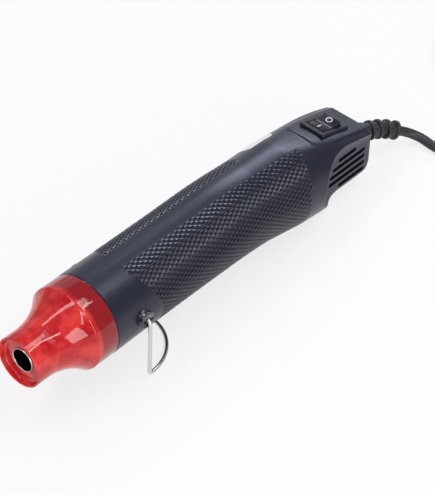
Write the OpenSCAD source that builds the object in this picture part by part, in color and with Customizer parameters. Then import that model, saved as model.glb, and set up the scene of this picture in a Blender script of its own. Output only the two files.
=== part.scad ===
// Embossing heat tool: a pistol-less hot air tool with a wire stand, shown resting on its stand and heel.
// Lengths are in millimetres. Inside the modules the tool lies along X with the nozzle mouth at the origin
// and its nose toward +X; rested() then tips it onto its stand, with the table at z = 0.

/* [Nozzle and guard] */
// Outer radius of the metal nozzle tube
nozzle_r = 6.2; // [5.6:0.1:7.5]
// Wall of the metal nozzle tube
nozzle_wall = 0.6; // [0.4:0.1:1]
// Length of the straight nozzle before it widens
nozzle_straight = 13; // [11:0.5:15]
// Outer radius of the metal tube round the element
element_r = 13; // [12.6:0.1:13.4]
// Where the widening of the metal tube ends, behind the mouth
element_start = 29; // [27:0.5:31]
// Where the metal tube ends, behind the mouth
element_end = 88; // [84:1:89]
// Outer radius of the guard's front rim
rim_r = 12.8; // [12:0.1:14]
// How far the guard's rim stands in front of the mouth
rim_proud = 2.6; // [1:0.1:4]
// Wall of the guard's rim in front of its web
rim_wall = 1.1; // [0.8:0.1:1.6]
// Where the trumpet starts to widen, behind the mouth
trumpet_start = 5; // [4:0.5:7]
// Radius of the trumpet's hollow curve
trumpet_r = 32.9; // [31:0.1:36]
// Wall of the guard
guard_wall = 1.6; // [1.2:0.1:2]
// Thickness of the web that holds the nozzle
web_t = 1.6; // [1.2:0.1:2.4]
// Length of the guard's spigot inside the housing
spigot_len = 6; // [5:0.5:7]

/* [Housing] */
// Radius of the guard's collar and the housing's front
collar_r = 21.4; // [21:0.1:22]
// Where the housing starts, behind the mouth
housing_front = 39.3; // [38:0.1:41]
// Radius at the narrowest place of the grip
waist_r = 21; // [20.8:0.1:21.4]
// Where the grip is narrowest, behind the mouth
waist_x = 88; // [80:1:96]
// Where the grip starts to bend down, behind the mouth
bend_x = 118; // [116:1:122]
// Radius of the bend
bend_radius = 273; // [250:1:300]
// Angle of the bend
bend_deg = 6.2; // [5:0.1:7]
// Radius of the grip at the heel
heel_r = 22.6; // [22.2:0.1:23]
// Wall of the housing
wall = 2; // [1.6:0.1:2.4]
// Where the housing ends, behind the mouth
housing_end = 226; // [224:0.5:228]

/* [Switch deck and rear head] */
// Middle of the switch, ahead of the housing's end
deck_back = 20.6; // [19:0.1:22]
// Height of the deck's pad over the axis at the switch
deck_z = 11.2; // [10.8:0.1:11.6]
// Slope of the deck down to the rear
deck_deg = 16.6; // [15:0.1:18]
// Height of the pad over the shoulders
pad_h = 1; // [0.6:0.1:1.4]
// Width of the pad
pad_w = 21.6; // [19:0.1:23]
// Front edge of the pad ahead of the switch's middle
pad_front = 16.2; // [14:0.1:18]
// Corner radius of the pad
pad_corner = 4; // [2:0.5:6]
// Half width of the rear head between its vent walls
head_half = 14; // [13.5:0.1:14.6]
// Depth of the rear head's underside below the axis
head_drop = 20.5; // [20:0.1:21.5]
// Radius of the rear head's lower long edges
head_edge = 4.5; // [3:0.5:5]
// Radius of the rear head's lower rear corner
head_corner = 7; // [5:0.5:8]
// Rear face of the heel, ahead of the housing's end
heel_back = 34; // [32:0.5:36]
// Radius of the hollow between heel and rear head
heel_cove = 7.5; // [6:0.5:8]
// Height of the flat under the heel below the axis
heel_z = 28.4; // [28:0.1:28.6]
// Middle of the hand scoop, ahead of the housing's end
scoop_back = 22; // [20:0.5:23]
// Middle of the hand scoop below the axis
scoop_z = 9; // [8:0.5:10]
// Flat radius of the hand scoop
scoop_flat = 12; // [11:0.5:13]
// Radius of the hollow round the hand scoop
scoop_cove = 10; // [8:0.5:10.5]

/* [Vents] */
// Number of vent slots on each side
vent_count = 5; // [3:1:5]
// Height of one vent slot
vent_h = 2; // [1.4:0.1:2.4]
// Pitch of the vent slots
vent_pitch = 4.1; // [3.6:0.1:4.2]
// Rear end of the vent slots, ahead of the housing's end
vent_back = 4.4; // [4:0.1:8]

/* [Stand] */
// Hinge of the stand, behind the mouth
stand_x = 56; // [54:0.1:60]
// Height of the hinge over the axis
stand_z = 0.7; // [0:0.1:1.4]
// Diameter of the stand's wire
wire_d = 2; // [1.6:0.1:2.2]
// Length of the stand's legs from the hinge down
leg_len = 32.8; // [31:0.1:36]
// Bend radius of the stand's wire
wire_bend = 1.8; // [1.6:0.1:2.4]
// Length of the wire's ends inside the housing
pin_len = 7; // [5.5:0.5:8]
// Radius of the round bosses that hold the stand
boss_r = 4.3; // [3.8:0.1:5]
// Height of the bosses over the housing
boss_h = 2.5; // [2:0.1:3]
// Running clearance of the wire in its holes
pin_clear = 0.05; // [0.03:0.01:0.1]

/* [Fan and motor] */
// Radius of the fan over its blade tips
fan_r = 16.4; // [15:0.1:16.8]
// Number of fan blades
fan_blades = 7; // [5:1:9]
// Radius of the fan's hub
fan_hub_r = 4.5; // [3.5:0.1:5.5]
// Front of the fan, behind the mouth
fan_x = 97; // [96.5:0.1:97.5]
// Length of the fan's hub
fan_len = 8; // [6:0.1:8.5]
// Pitch angle of the blades
blade_deg = 40; // [30:1:50]
// Front face of the motor, behind the mouth
motor_x = 110; // [109.5:0.1:111]
// Radius of the motor's case
motor_r = 12; // [11:0.1:12.4]
// Length of the motor's case
motor_len = 28; // [26:0.1:29]
// Diameter of the motor's shaft
shaft_d = 2; // [1.8:0.1:2.3]
// Running clearance round the shaft
shaft_clear = 0.04; // [0.03:0.01:0.08]

/* [Switch] */
// Length of the switch's bezel along the deck
bezel_l = 21; // [20:0.1:22]
// Width of the switch's bezel
bezel_w = 15; // [14:0.1:16]
// Height of the bezel over the pad
bezel_h = 1.4; // [1:0.1:2]
// Length of the switch's body through the deck
switch_l = 18.8; // [17:0.1:19.2]
// Width of the switch's body through the deck
switch_w = 12.9; // [12:0.1:13.2]
// Depth of the switch's body below the pad
switch_depth = 11; // [10:0.1:12]
// Width of the rocker
rocker_w = 10; // [9:0.1:10.4]
// Radius of the rocker's ends about its hinge
rocker_r = 7.4; // [6.8:0.1:7.6]
// Tilt of the rocker to each side
rocker_deg = 10; // [8:0.5:11]

/* [Cord] */
// Diameter of the mains cord
cord_d = 5; // [4.6:0.1:5.4]
// Length of the strain relief outside the housing
relief_len = 31; // [28:0.5:34]
// Number of ribs on the strain relief
relief_ribs = 6; // [4:1:7]
// Radius of the ribs
rib_r = 5.2; // [4.9:0.1:5.6]
// Radius of the strain relief between its ribs
relief_r = 4.4; // [4.1:0.1:4.7]
// Height of the strain relief's root below the axis
relief_z = 9.5; // [9:0.1:10.5]
// Turns of the stored cord in each layer of the coil
coil_turns = 1.5; // [0.5:1:2.5]
// Layers of the coil
coil_layers = 4; // [2:2:4]
// Radius of the coil's innermost turn
coil_in_r = 23.2; // [22:0.2:25]
// Width of the plug's body
plug_w = 22; // [20:0.5:25]
// Length of the plug's blades outside its body
blade_len = 17; // [15:0.5:18]

/* [Hidden] */
$fn = 48;
fit = 0.05;
seat = 0.2;
far = 60;

// The rear group keeps its distance from the housing's end
deck_x = housing_end - deck_back;
heel_x = housing_end - heel_back;
scoop_x = housing_end - scoop_back;
vent_end = housing_end - vent_back;

// The tool's own frame and how it rests
foot_z = stand_z - leg_len;
stand_half = waist_r + boss_h + 2 * fit + wire_d / 2 + 0.2;
rest_run = heel_x - stand_x;
rest_drop = foot_z + heel_z;
tilt = asin(wire_d / 2 / norm([rest_run, rest_drop])) - atan(rest_drop / rest_run);
rest_lift = heel_x * sin(tilt) + heel_z * cos(tilt);
front_reach = rim_proud * cos(tilt) + rim_r * sin(tilt);
deck_end = deck_z - (housing_end - deck_x) * tan(deck_deg);
rear_reach = -housing_end * cos(tilt) - deck_end * sin(tilt);
rest_shift = -(front_reach + rear_reach) / 2;

// Places a module's own frame on the table
module rested() translate([rest_shift, 0, rest_lift]) rotate([0, -tilt, 0]) children();

// A frame at a place behind the mouth, with its Z to the rear and its X up
module at(place) translate([-place, 0, 0]) rotate([0, -90, 0]) children();

// A cylinder along Y, from one Y to another, at a place and height
module across(place, height, radius, y0, y1)
    translate([-place, y0, height]) rotate([-90, 0, 0]) cylinder(r = radius, h = y1 - y0);

// A block from one corner to the other
module block(low, high) translate(low) cube(high - low);

// The grip's radius follows a shallow waist
function skin(place) = waist_r + (collar_r - waist_r) * pow((place - waist_x) / (waist_x - housing_front), 2);
skin_steps = 8;
bend_skin = skin(bend_x);

// After the bend the housing runs straight down to the rear
tail_x = bend_x + bend_radius * sin(bend_deg);
tail_z = -bend_radius * (1 - cos(bend_deg));
tail_len = (housing_end - tail_x) / cos(bend_deg) + 4;
function axis_z(place) = tail_z - (place - tail_x) * tan(bend_deg);
bend_lap = 2.1;
bend_step = 0.4;
tail_grow = 24;
tail_round = 20;
tail_shrink = 2.4;

// The grip as a solid, thinner by off, from one place to another
module grip_front(off, front, rear) at(front) rotate_extrude()
    polygon(concat([[0, 0]],
        [for (i = [0:skin_steps]) let (s = front + (rear - front) * i / skin_steps) [skin(s) - off, s - front]],
        [[0, rear - front]]));
module grip_bend(off) translate([-bend_x, 0, -bend_radius]) rotate([90, 0, 0]) rotate([0, 0, 90])
    rotate_extrude(angle = bend_deg + bend_lap) translate([bend_radius, 0]) circle(r = bend_skin - off);
module grip_tail(off, length) translate([-tail_x, 0, tail_z]) rotate([0, -90 - bend_deg, 0]) rotate_extrude()
    polygon([[0, 0], [bend_skin - bend_step - off, 0], [heel_r - off, tail_grow], [heel_r - off, tail_len - tail_round - 4],
        [heel_r - off - tail_shrink * 0.25, tail_len - tail_round / 2 - 4],
        [heel_r - off - tail_shrink, tail_len - 4], [heel_r - off - tail_shrink, length], [0, length]]);
module grip() {
    grip_front(0, housing_front, bend_x);
    grip_bend(0);
    grip_tail(0, tail_len);
}

// The deck's frame: X forward along the slope, Z out of the pad
module on_deck() translate([-deck_x, 0, deck_z]) rotate([0, -deck_deg, 0]) children();

// The hollow scoop on each side that holds the vents
cove_steps = 8;
cove = [for (i = [0:cove_steps]) let (a = 90 * i / cove_steps)
    [scoop_flat + scoop_cove * sin(a), head_half + scoop_cove * (1 - cos(a))]];
scoop_reach = scoop_flat + scoop_cove;
scoop_fall = 10.6;
module scoop() {
    translate([-scoop_x, 0, -scoop_z]) rotate([-90, 0, 0]) rotate_extrude()
        polygon(concat([[0, head_half]], cove, [[scoop_reach, far], [0, far]]));
    translate([-scoop_x, 0, -scoop_z]) rotate([0, -scoop_fall, 0]) rotate([0, -90, 0]) linear_extrude(far)
        polygon(concat([[-scoop_reach, head_half]], cove, [[scoop_reach, far], [-scoop_reach, far]]));
}

// What is taken off the grip to shape the deck, the scoops and the rear head
module deck_cut() on_deck() block([-far, -far, -pad_h], [2 * far, far, far]);
module underside_cut() {
    across(heel_x + heel_cove, -head_drop - heel_cove, heel_cove, -far, far);
    block([-housing_end - far, -far, -far], [-heel_x - heel_cove, far, -head_drop]);
    block([-housing_end - far, -far, -far], [-heel_x, far, -head_drop - heel_cove]);
}
module rear_cut() block([-far - housing_end, -far, -far], [-housing_end, far, far]);
module corner_cut() difference() {
    block([-housing_end - 1, -far, -head_drop - 1], [-housing_end + head_corner, far, -head_drop + head_corner]);
    across(housing_end - head_corner, -head_drop + head_corner, head_corner, -far, far);
}
module edge_cut() difference() {
    block([-housing_end - 1, head_half - head_edge, -head_drop - 1],
        [-heel_x - heel_cove, head_half + 1, -head_drop + head_edge]);
    translate([-heel_x, head_half - head_edge, -head_drop + head_edge]) rotate([0, -90, 0])
        cylinder(r = head_edge, h = far);
}
module heel_flat() translate([-heel_x, 0, -heel_z]) rotate([0, tilt, 0])
    block([-far, -far, -far], [2 * far, far, 0]);
module pad() on_deck() translate([0, 0, -pad_h - wall]) linear_extrude(pad_h + wall) {
    translate([-far / 2, -pad_w / 2]) square([far / 2 + pad_front - pad_corner, pad_w]);
    translate([0, -pad_w / 2 + pad_corner]) square([pad_front, pad_w - 2 * pad_corner]);
    for (side = [-1, 1]) translate([pad_front - pad_corner, side * (pad_w / 2 - pad_corner)]) circle(r = pad_corner);
}

// The hollow inside: grip, then a narrower room in the rear head
cavity_end = heel_x - 12;
room_top = pad_h + wall + 0.2;
module grip_cavity() {
    grip_front(wall, housing_front - 1, bend_x);
    grip_bend(wall);
    intersection() {
        grip_tail(wall, tail_len);
        block([-cavity_end, -far, -far], [0, far, far]);
    }
}
module head_room() difference() {
    intersection() {
        block([-housing_end + wall, -head_half + wall, -head_drop + wall], [-cavity_end + 1, head_half - wall, far]);
        grip_tail(wall + 0.2, tail_len);
    }
    on_deck() block([-far, -far, -room_top], [far, far, 2 * far]);
    difference() {
        block([-housing_end, -far, -head_drop], [-housing_end + head_corner, far, -head_drop + head_corner]);
        across(housing_end - head_corner, -head_drop + head_corner, head_corner - wall, -far, far);
    }
}

// Screw posts, ring ribs, motor fins and stand bosses that stand in the hollow
post_r = 3.6;
post_off = 16;
post_front = stand_x - 4;
post_rear = motor_x + motor_len + 18;
post_up = 9;
post_places = [
    [post_front, -post_off], [post_rear, axis_z(post_rear) + post_up], [post_rear, axis_z(post_rear) - post_off],
    [housing_end - 20, -head_drop + wall + post_r + seat]
];
rib_in = 17.6;
duct_x = 91.5;
duct_t = 2;
mount_t = 2;
rib_w = 1.4;
ring_places = [duct_x - rib_w - fit, duct_x + duct_t + fit, motor_x - mount_t - rib_w - fit, motor_x + fit];
lead_r = 0.8;
lead_side = 18.1;
notch_w = 3;
module lead_notch(front, rear) for (side = [-1, 1])
    block([-rear, side * 20 - 3, -notch_w / 2], [-front, side * 20 + 3, notch_w / 2]);
module ring_rib(place) difference() {
    at(place) cylinder(r = collar_r, h = rib_w);
    at(place - 1) cylinder(r = rib_in, h = rib_w + 2);
    lead_notch(place - 1, place + rib_w + 1);
}
fin_x = 122;
fin_len = 10;
fin_t = 2;
module motor_fins() difference() {
    for (turn = [45, 135]) at(fin_x) rotate([0, 0, turn])
        translate([-collar_r, -fin_t / 2, 0]) cube([2 * collar_r, fin_t, fin_len]);
    at(fin_x - 1) cylinder(r = motor_r + fit, h = fin_len + 2);
}
boss_in = waist_r + boss_h + pin_clear - pin_len - 1;
module hollow() difference() {
    union() {
        grip_cavity();
        head_room();
        at(housing_front + spigot_len - 2) cylinder(r = spigot_r + snap_h + fit, h = snap_w + 2 * fit);
    }
    for (post = post_places) across(post[0], post[1], post_r, -far, far);
    for (place = ring_places) ring_rib(place);
    motor_fins();
    for (side = [0, 1]) mirror([0, side, 0]) across(stand_x, stand_z, boss_r, boss_in, far);
}

// Everything that is cut through a shell
spigot_r = skin(housing_front + spigot_len) - wall - fit;
snap_h = 0.6;
snap_w = 1.2;
module stand_holes() for (side = [0, 1]) mirror([0, side, 0]) {
    across(stand_x, stand_z, wire_d / 2 + pin_clear, boss_face - pin_len - 0.4, far);
    block([-stand_x - boss_r - 1, boss_face - groove_d, stand_z - groove_w / 2],
        [-stand_x + boss_r + 1, far, stand_z + groove_w / 2]);
}
boss_face = waist_r + boss_h;
groove_d = 0.8;
groove_w = wire_d + 0.3;
// Front end of each vent slot, from the top slot down, ahead of the housing's end
vent_fronts = [25, 29, 31, 31.5, 24];
vent_top_cut = 7;
vent_top = 0;
module vents() for (side = [0, 1]) mirror([0, side, 0]) for (i = [0:vent_count - 1])
    let (z = vent_top - i * vent_pitch, front = housing_end - vent_fronts[i], rear = i == 0 ? vent_end - vent_top_cut : vent_end) {
        block([-rear + vent_h / 2, head_half - wall - 1, z - vent_h / 2],
            [-front - vent_h / 2, far, z + vent_h / 2]);
        across(rear - vent_h / 2, z, vent_h / 2, head_half - wall - 1, far);
        across(front + vent_h / 2, z, vent_h / 2, head_half - wall - 1, far);
    }
neck_r = relief_r - 0.3;
module relief_hole() at(housing_end - wall - 1) translate([-relief_z, 0, 0]) cylinder(r = neck_r + fit, h = wall + 2);
module switch_hole() on_deck() block([-switch_l / 2 - seat / 2, -switch_w / 2 - seat / 2, -room_top - 4],
    [switch_l / 2 + seat / 2, switch_w / 2 + seat / 2, 1]);
screw_r = 1.1;
screw_head_r = 2.4;
screw_head_h = 1.8;
screw_seat = 7;
screw_len = 15;
module screw_holes() for (post = post_places) {
    across(post[0], post[1], screw_r + seat, -far, 0);
    across(post[0], post[1], screw_head_r + seat, -far, -screw_seat);
    across(post[0], post[1], screw_r + 0.02, -1, screw_len - screw_seat + 0.6);
}

// The whole housing before it is split
module housing() difference() {
    union() {
        difference() {
            grip();
            deck_cut();
            for (side = [0, 1]) mirror([0, side, 0]) scoop();
            for (side = [0, 1]) mirror([0, side, 0]) edge_cut();
            underside_cut();
            corner_cut();
            heel_flat();
        }
        pad();
        for (side = [0, 1]) mirror([0, side, 0]) across(stand_x, stand_z, boss_r, waist_r - 1, boss_face);
    }
    rear_cut();
    hollow();
    stand_holes();
    vents();
    relief_hole();
    switch_hole();
    screw_holes();
}
clamp_x = housing_end - 14;
clamp_w = 5;
clamp_post_r = 2.2;
clamp_gap = 5.3;
clamp_seat = cord_d / 2;
clamp_places = [-relief_z - clamp_gap, -relief_z + clamp_gap];
module left_shell() color([0.13, 0.13, 0.17]) rested() difference() {
    union() {
        intersection() {
            housing();
            block([-far * 4, 0, -far], [far, far, far]);
        }
        for (z = clamp_places) across(clamp_x + clamp_w / 2, z, clamp_post_r, -clamp_seat, head_half - wall + 1);
    }
    for (z = clamp_places) across(clamp_x + clamp_w / 2, z, screw_r + 0.02, -clamp_seat - 1, 6);
}
module right_shell() color([0.15, 0.15, 0.19]) rested() intersection() {
    housing();
    block([-far * 4, -far, -far], [far, 0, far]);
}

// The clear red guard, turned about the axis
arc_steps = 10;
shoulder_x = trumpet_start + sqrt(pow(trumpet_r, 2) - pow(trumpet_r - (collar_r - rim_r), 2));
function trumpet(place, off) = rim_r + trumpet_r - sqrt(pow(trumpet_r + off, 2) - pow(place - trumpet_start, 2));
collar_in = collar_r - 2.4;
web_x = 0.4;
rim_in = rim_r - rim_wall;
module nozzle_guard() color([0.85, 0.12, 0.14, 0.7]) rested() at(0) rotate_extrude() polygon(concat(
    [[rim_in, -rim_proud + 0.3], [rim_in + 0.3, -rim_proud], [rim_r - 0.4, -rim_proud], [rim_r, -rim_proud + 0.4]],
    [for (i = [0:arc_steps]) let (s = trumpet_start + (shoulder_x - trumpet_start) * i / arc_steps)
        [trumpet(s, 0), s]],
    [[collar_r, shoulder_x + 0.4], [collar_r, housing_front - seat], [spigot_r, housing_front - seat],
        [spigot_r, housing_front + spigot_len - 2 + fit], [spigot_r + snap_h, housing_front + spigot_len - 1.6],
        [spigot_r + snap_h, housing_front + spigot_len - 1.2], [spigot_r, housing_front + spigot_len - 0.8],
        [spigot_r, housing_front + spigot_len], [spigot_r - guard_wall, housing_front + spigot_len],
        [spigot_r - guard_wall, housing_front - 3], [collar_in, housing_front - 5]],
    [for (i = [arc_steps:-1:0]) let (s = trumpet_start + (shoulder_x - trumpet_start) * i / arc_steps)
        [trumpet(s, guard_wall), s]],
    [[rim_r - guard_wall, web_x + web_t], [nozzle_r + fit, web_x + web_t], [nozzle_r + fit, web_x],
        [rim_in, web_x]]));

// The metal tube: nozzle, cone and the wide tube round the element
module nozzle_tube() color([0.75, 0.76, 0.78]) rested() at(0) rotate_extrude() polygon([
    [nozzle_r - nozzle_wall, 0.2], [nozzle_r - nozzle_wall / 2, 0], [nozzle_r, 0.2], [nozzle_r, nozzle_straight],
    [element_r, element_start], [element_r, element_end], [element_r - nozzle_wall, element_end],
    [element_r - nozzle_wall, element_start + 0.3], [nozzle_r - nozzle_wall, nozzle_straight + 0.3]]);

// The element: a mica sleeve, two crossed cards and a wound coil on a base
sleeve_t = 0.4;
sleeve_r = element_r - nozzle_wall - fit;
card_half = sleeve_r - sleeve_t - 1.6;
card_t = 0.8;
card_front = element_start + 5;
card_rear = element_end - 2;
base_t = 3;
base_x = element_end - 1 - base_t;
module mica_sleeve() color([0.72, 0.66, 0.5]) rested() at(element_start + 2) difference() {
    cylinder(r = sleeve_r, h = base_x - element_start - 2 + base_t);
    translate([0, 0, -1]) cylinder(r = sleeve_r - sleeve_t, h = element_end);
}
module mica_card(slot_from, slot_to) difference() {
    block([-card_rear, -card_t / 2, -card_half], [-card_front, card_t / 2, card_half]);
    block([-slot_to, -card_t, -card_t / 2 - fit], [-slot_from, card_t, card_t / 2 + fit]);
}
card_mid = (card_front + card_rear) / 2;
module mica_card_upright() color([0.8, 0.75, 0.6]) rested() mica_card(card_front - 1, card_mid + fit);
module mica_card_flat() color([0.8, 0.75, 0.6]) rested() rotate([90, 0, 0]) mica_card(card_mid - fit, card_rear + 1);
module element_base() color([0.85, 0.83, 0.78]) rested() at(base_x) difference() {
    cylinder(r = sleeve_r - sleeve_t - fit, h = base_t);
    for (turn = [0, 90]) rotate([0, 0, turn]) translate([-card_half - fit, -card_t / 2 - fit, -1])
        cube([2 * card_half + 2 * fit, card_t + 2 * fit, base_t + 2]);
    for (turn = [45:90:315]) rotate([0, 0, turn]) translate([6.2, 0, -1]) cylinder(r = 3.2, h = base_t + 2);
}

// A tube swept along points, with a ring of sides at each
function unit(v) = v / norm(v);
function heading(p, i) = unit(p[min(i + 1, len(p) - 1)] - p[max(i - 1, 0)]);
function ring(c, d, r, n) = let (s = unit(cross(d, [0.03, 0.02, 1])), u = cross(s, d))
    [for (k = [0:n - 1]) let (a = 90 + 360 * k / n) c + r * (cos(a) * s + sin(a) * u)];
module swept(p, r, n) {
    last = (len(p) - 1) * n;
    polyhedron(
        [for (i = [0:len(p) - 1]) each ring(p[i], heading(p, i), r, n)],
        concat(
            [for (i = [0:len(p) - 2]) for (k = [0:n - 1]) [i * n + k, (i + 1) * n + k, i * n + (k + 1) % n]],
            [for (i = [0:len(p) - 2]) for (k = [0:n - 1])
                [(i + 1) * n + k, (i + 1) * n + (k + 1) % n, i * n + (k + 1) % n]],
            [for (k = [1:n - 2]) [0, k, k + 1]],
            [for (k = [1:n - 2]) [last, last + k + 1, last + k]]));
}

winding_turns = 7;
winding_steps = 12;
winding_wire = 0.35;
winding_r = card_half + winding_wire + 0.15;
winding_front = card_front + 6;
winding_rear = card_rear - 8;
module heating_coil() color([0.55, 0.5, 0.48]) rested() swept(
    [for (i = [0:winding_turns * winding_steps]) let (a = 360 * i / winding_steps)
        [-winding_front - (winding_rear - winding_front) * i / (winding_turns * winding_steps),
            winding_r * sin(a), winding_r * cos(a)]], winding_wire, 5);

// A thermal cutout lies along the upright card
cutout_r = 1.6;
cutout_len = 9;
module thermal_cutout() color([0.8, 0.8, 0.75]) rested()
    at(card_rear - 16) translate([4, card_t / 2 + cutout_r + fit, 0]) cylinder(r = cutout_r, h = cutout_len);

// The duct leads the fan's air into the metal tube and holds its rear end
duct_in = skin(duct_x) - wall - fit;
duct_socket = 7;
module air_duct() color([0.2, 0.2, 0.2]) rested() difference() {
    at(0) rotate_extrude() polygon([
        [element_r + fit, element_end - duct_socket], [element_r + 1.4, element_end - duct_socket],
        [element_r + 1.4, element_end - 0.4], [rib_in - 0.4, duct_x], [duct_in, duct_x], [duct_in, duct_x + duct_t],
        [fan_r + 0.2, duct_x + duct_t], [element_r - nozzle_wall, element_end + 0.8],
        [element_r - nozzle_wall, element_end + 0.1], [element_r + fit, element_end + 0.1]]);
    lead_notch(duct_x - 1, duct_x + duct_t + 1);
}

// Fan, shaft and motor
module fan_wheel() color([0.25, 0.25, 0.27]) rested() at(fan_x) difference() {
    union() {
        cylinder(r = fan_hub_r, h = fan_len);
        intersection() {
            for (i = [0:fan_blades - 1]) rotate([0, 0, 360 * i / fan_blades])
                translate([fan_hub_r - 0.6, 0, fan_len / 2]) rotate([90 - blade_deg, 0, 0])
                    translate([0, -4.6, -0.5]) cube([fan_r, 9.2, 1]);
            cylinder(r = fan_r, h = fan_len);
        }
    }
    translate([0, 0, -1]) cylinder(d = shaft_d, h = fan_len + 2);
}
shaft_front = fan_x - 1;
cap_len = 3.5;
module motor_shaft() color([0.7, 0.7, 0.72]) rested()
    at(shaft_front) cylinder(d = shaft_d, h = motor_x + motor_len + cap_len + 1 - shaft_front);
motor_boss_r = 3.9;
motor_boss_h = mount_t - 0.4;
mount_screw_off = 8;
module motor_bore(front, rear) at(front - 1) cylinder(d = shaft_d + 2 * shaft_clear, h = rear - front + 2);
module motor_case() color([0.62, 0.63, 0.65]) rested() difference() {
    union() {
        at(motor_x) cylinder(r = motor_r, h = motor_len);
        at(motor_x - motor_boss_h) cylinder(r = motor_boss_r, h = motor_boss_h + 1);
    }
    motor_bore(motor_x - motor_boss_h, motor_x + motor_len);
    for (side = [-1, 1]) at(motor_x - 1) translate([0, side * mount_screw_off, 0])
        cylinder(r = motor_screw_r + fit, h = motor_screw_in + 1.3);
}
module motor_end_cap() color([0.9, 0.9, 0.86]) rested() difference() {
    at(motor_x + motor_len) {
        cylinder(r = motor_r - 0.4, h = cap_len - 1.2);
        cylinder(r = 3.6, h = cap_len);
        for (side = [-1, 1]) translate([-1.2, side * 7 - 0.3, 0]) cube([2.4, 0.6, cap_len + 3]);
    }
    motor_bore(motor_x + motor_len, motor_x + motor_len + cap_len);
}
motor_screw_r = 1.1;
motor_screw_in = 4;
module motor_screws() color([0.75, 0.75, 0.72]) rested() for (side = [-1, 1])
    at(motor_x - mount_t) translate([0, side * mount_screw_off, 0]) {
        translate([0, 0, -1.3]) cylinder(r = 1.9, h = 1.3);
        cylinder(r = motor_screw_r, h = mount_t + motor_screw_in);
    }
module motor_mount() color([0.22, 0.22, 0.24]) rested() difference() {
    at(motor_x - mount_t) difference() {
        cylinder(r = skin(motor_x) - wall - fit, h = mount_t);
        for (turn = [0:45:315]) rotate([0, 0, turn]) translate([13.6, 0, -1]) cylinder(r = 3, h = mount_t + 2);
        translate([0, 0, -1]) cylinder(r = motor_boss_r + fit, h = mount_t + 2);
        for (side = [-1, 1]) translate([0, side * mount_screw_off, -1])
            cylinder(r = motor_screw_r + fit, h = mount_t + 2);
    }
    lead_notch(motor_x - mount_t - 1, motor_x + 1);
}

// A small board on the motor's tabs carries four diodes
board_x = motor_x + motor_len + cap_len + 1.2;
board_t = 1;
board_side = 9;
module rectifier_board() color([0.2, 0.4, 0.22]) rested() difference() {
    block([-board_x - board_t, -board_side, -6], [-board_x, board_side, 6]);
    for (side = [-1, 1]) block([-board_x - 2, side * 7 - 0.3 - fit, -1.2 - fit],
        [-board_x + 1, side * 7 + 0.3 + fit, 1.2 + fit]);
}
module diodes() color([0.12, 0.12, 0.12]) rested() for (y = [-4.5, -1.5, 1.5, 4.5])
    translate([-board_x - board_t - 1.3, y, -2.6]) cylinder(r = 1.2, h = 5.2);

// The rocker switch, in the deck's frame
rocker_slot_l = 2 * rocker_r + 0.3;
rocker_slot_w = rocker_w + 0.4;
rocker_axis = bezel_h - 2.6;
rocker_pin_r = 1;
rocker_pin_len = 1;
rocker_face = bezel_h + 0.1 - rocker_axis;
rocker_floor = -4.2;
module bezel_cut(low, high) block([-rocker_slot_l / 2, -rocker_slot_w / 2, low],
    [rocker_slot_l / 2, rocker_slot_w / 2, high]);
module on_hinge() on_deck() translate([0, 0, rocker_axis]) children();
module switch_case() color([0.1, 0.1, 0.12]) rested() {
    on_deck() difference() {
        union() {
            block([-bezel_l / 2, -bezel_w / 2, 0], [bezel_l / 2, bezel_w / 2, bezel_h]);
            block([-switch_l / 2, -switch_w / 2, -switch_depth], [switch_l / 2, switch_w / 2, 1]);
        }
        bezel_cut(rocker_axis + rocker_floor - 4.4, bezel_h + 1);
        translate([0, 0, rocker_axis]) rotate([90, 0, 0]) cylinder(
            r = rocker_pin_r + pin_clear, h = rocker_w + 2 * rocker_pin_len + 0.6, center = true);
        for (place = terminal_places) block([place - terminal_t / 2 - fit, -terminal_w / 2 - fit, -far],
            [place + terminal_t / 2 + fit, terminal_w / 2 + fit, 0]);
    }
}
module rocker_top(turn) rotate([0, turn, 0]) block([-far, -far, rocker_face], [far, far, far]);
module switch_rocker() color([0.16, 0.16, 0.2]) rested() on_hinge() rotate([0, rocker_deg, 0]) {
    difference() {
        rotate([90, 0, 0]) cylinder(r = rocker_r, h = rocker_w, center = true);
        difference() {
            rocker_top(-rocker_deg);
            block([-far, -far, -far], [0, far, far]);
        }
        difference() {
            rocker_top(rocker_deg);
            block([0, -far, -far], [far, far, far]);
        }
        block([-far, -far, -far], [far, far, rocker_floor]);
    }
    rotate([90, 0, 0]) cylinder(r = rocker_pin_r, h = rocker_w + 2 * rocker_pin_len, center = true);
}
terminal_t = 0.8;
terminal_w = 4.8;
terminal_len = 6;
terminal_places = [-5, 2.2];
module switch_terminals() color([0.78, 0.68, 0.35]) rested() on_deck() for (place = terminal_places)
    block([place - terminal_t / 2, -terminal_w / 2, -switch_depth - terminal_len],
        [place + terminal_t / 2, terminal_w / 2, -switch_depth + 1.6]);

// The leads inside: two forward to the element, two from the cord
lead_in = element_r + lead_r + 0.1;
lead_start_x = element_end - duct_socket - 5;
lead_duct_r = element_r + 1.4 + 2 * lead_r;
lead_bend = 2.5;
board_rear = board_x + board_t;
lead_low = -3.4;
module heater_leads() color([0.7, 0.1, 0.1]) rested() for (side = [-1, 1]) swept([
    [-lead_start_x, side * lead_in, 0], [-lead_start_x - lead_bend, side * lead_in, 0],
    [-element_end + duct_socket - 1, side * lead_duct_r, 0], [-element_end, side * (lead_side - 1), 0],
    [-duct_x + 1, side * lead_side, 0], [-motor_x, side * lead_side, 0], [-fin_x + 4, side * lead_side, 0],
    [-motor_x - motor_len + 4, side * (motor_r + lead_r + 1), 0], [-motor_x - motor_len, side * (motor_r + 1.6), 0],
    [-board_x, side * (board_side + 3), 0], [-board_rear - 2, side * board_side, -1],
    [-board_rear - lead_r - 0.1, side * (board_side - 1.5), lead_low],
    [-board_rear - lead_r - 0.1, side * (board_side - 1.5), lead_low - 2]], lead_r, 6);
tail_front = clamp_x - 2;
core_off = 1.1;
core_turn = 3;
core_y = 3;
core_z = 4.2;
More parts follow.
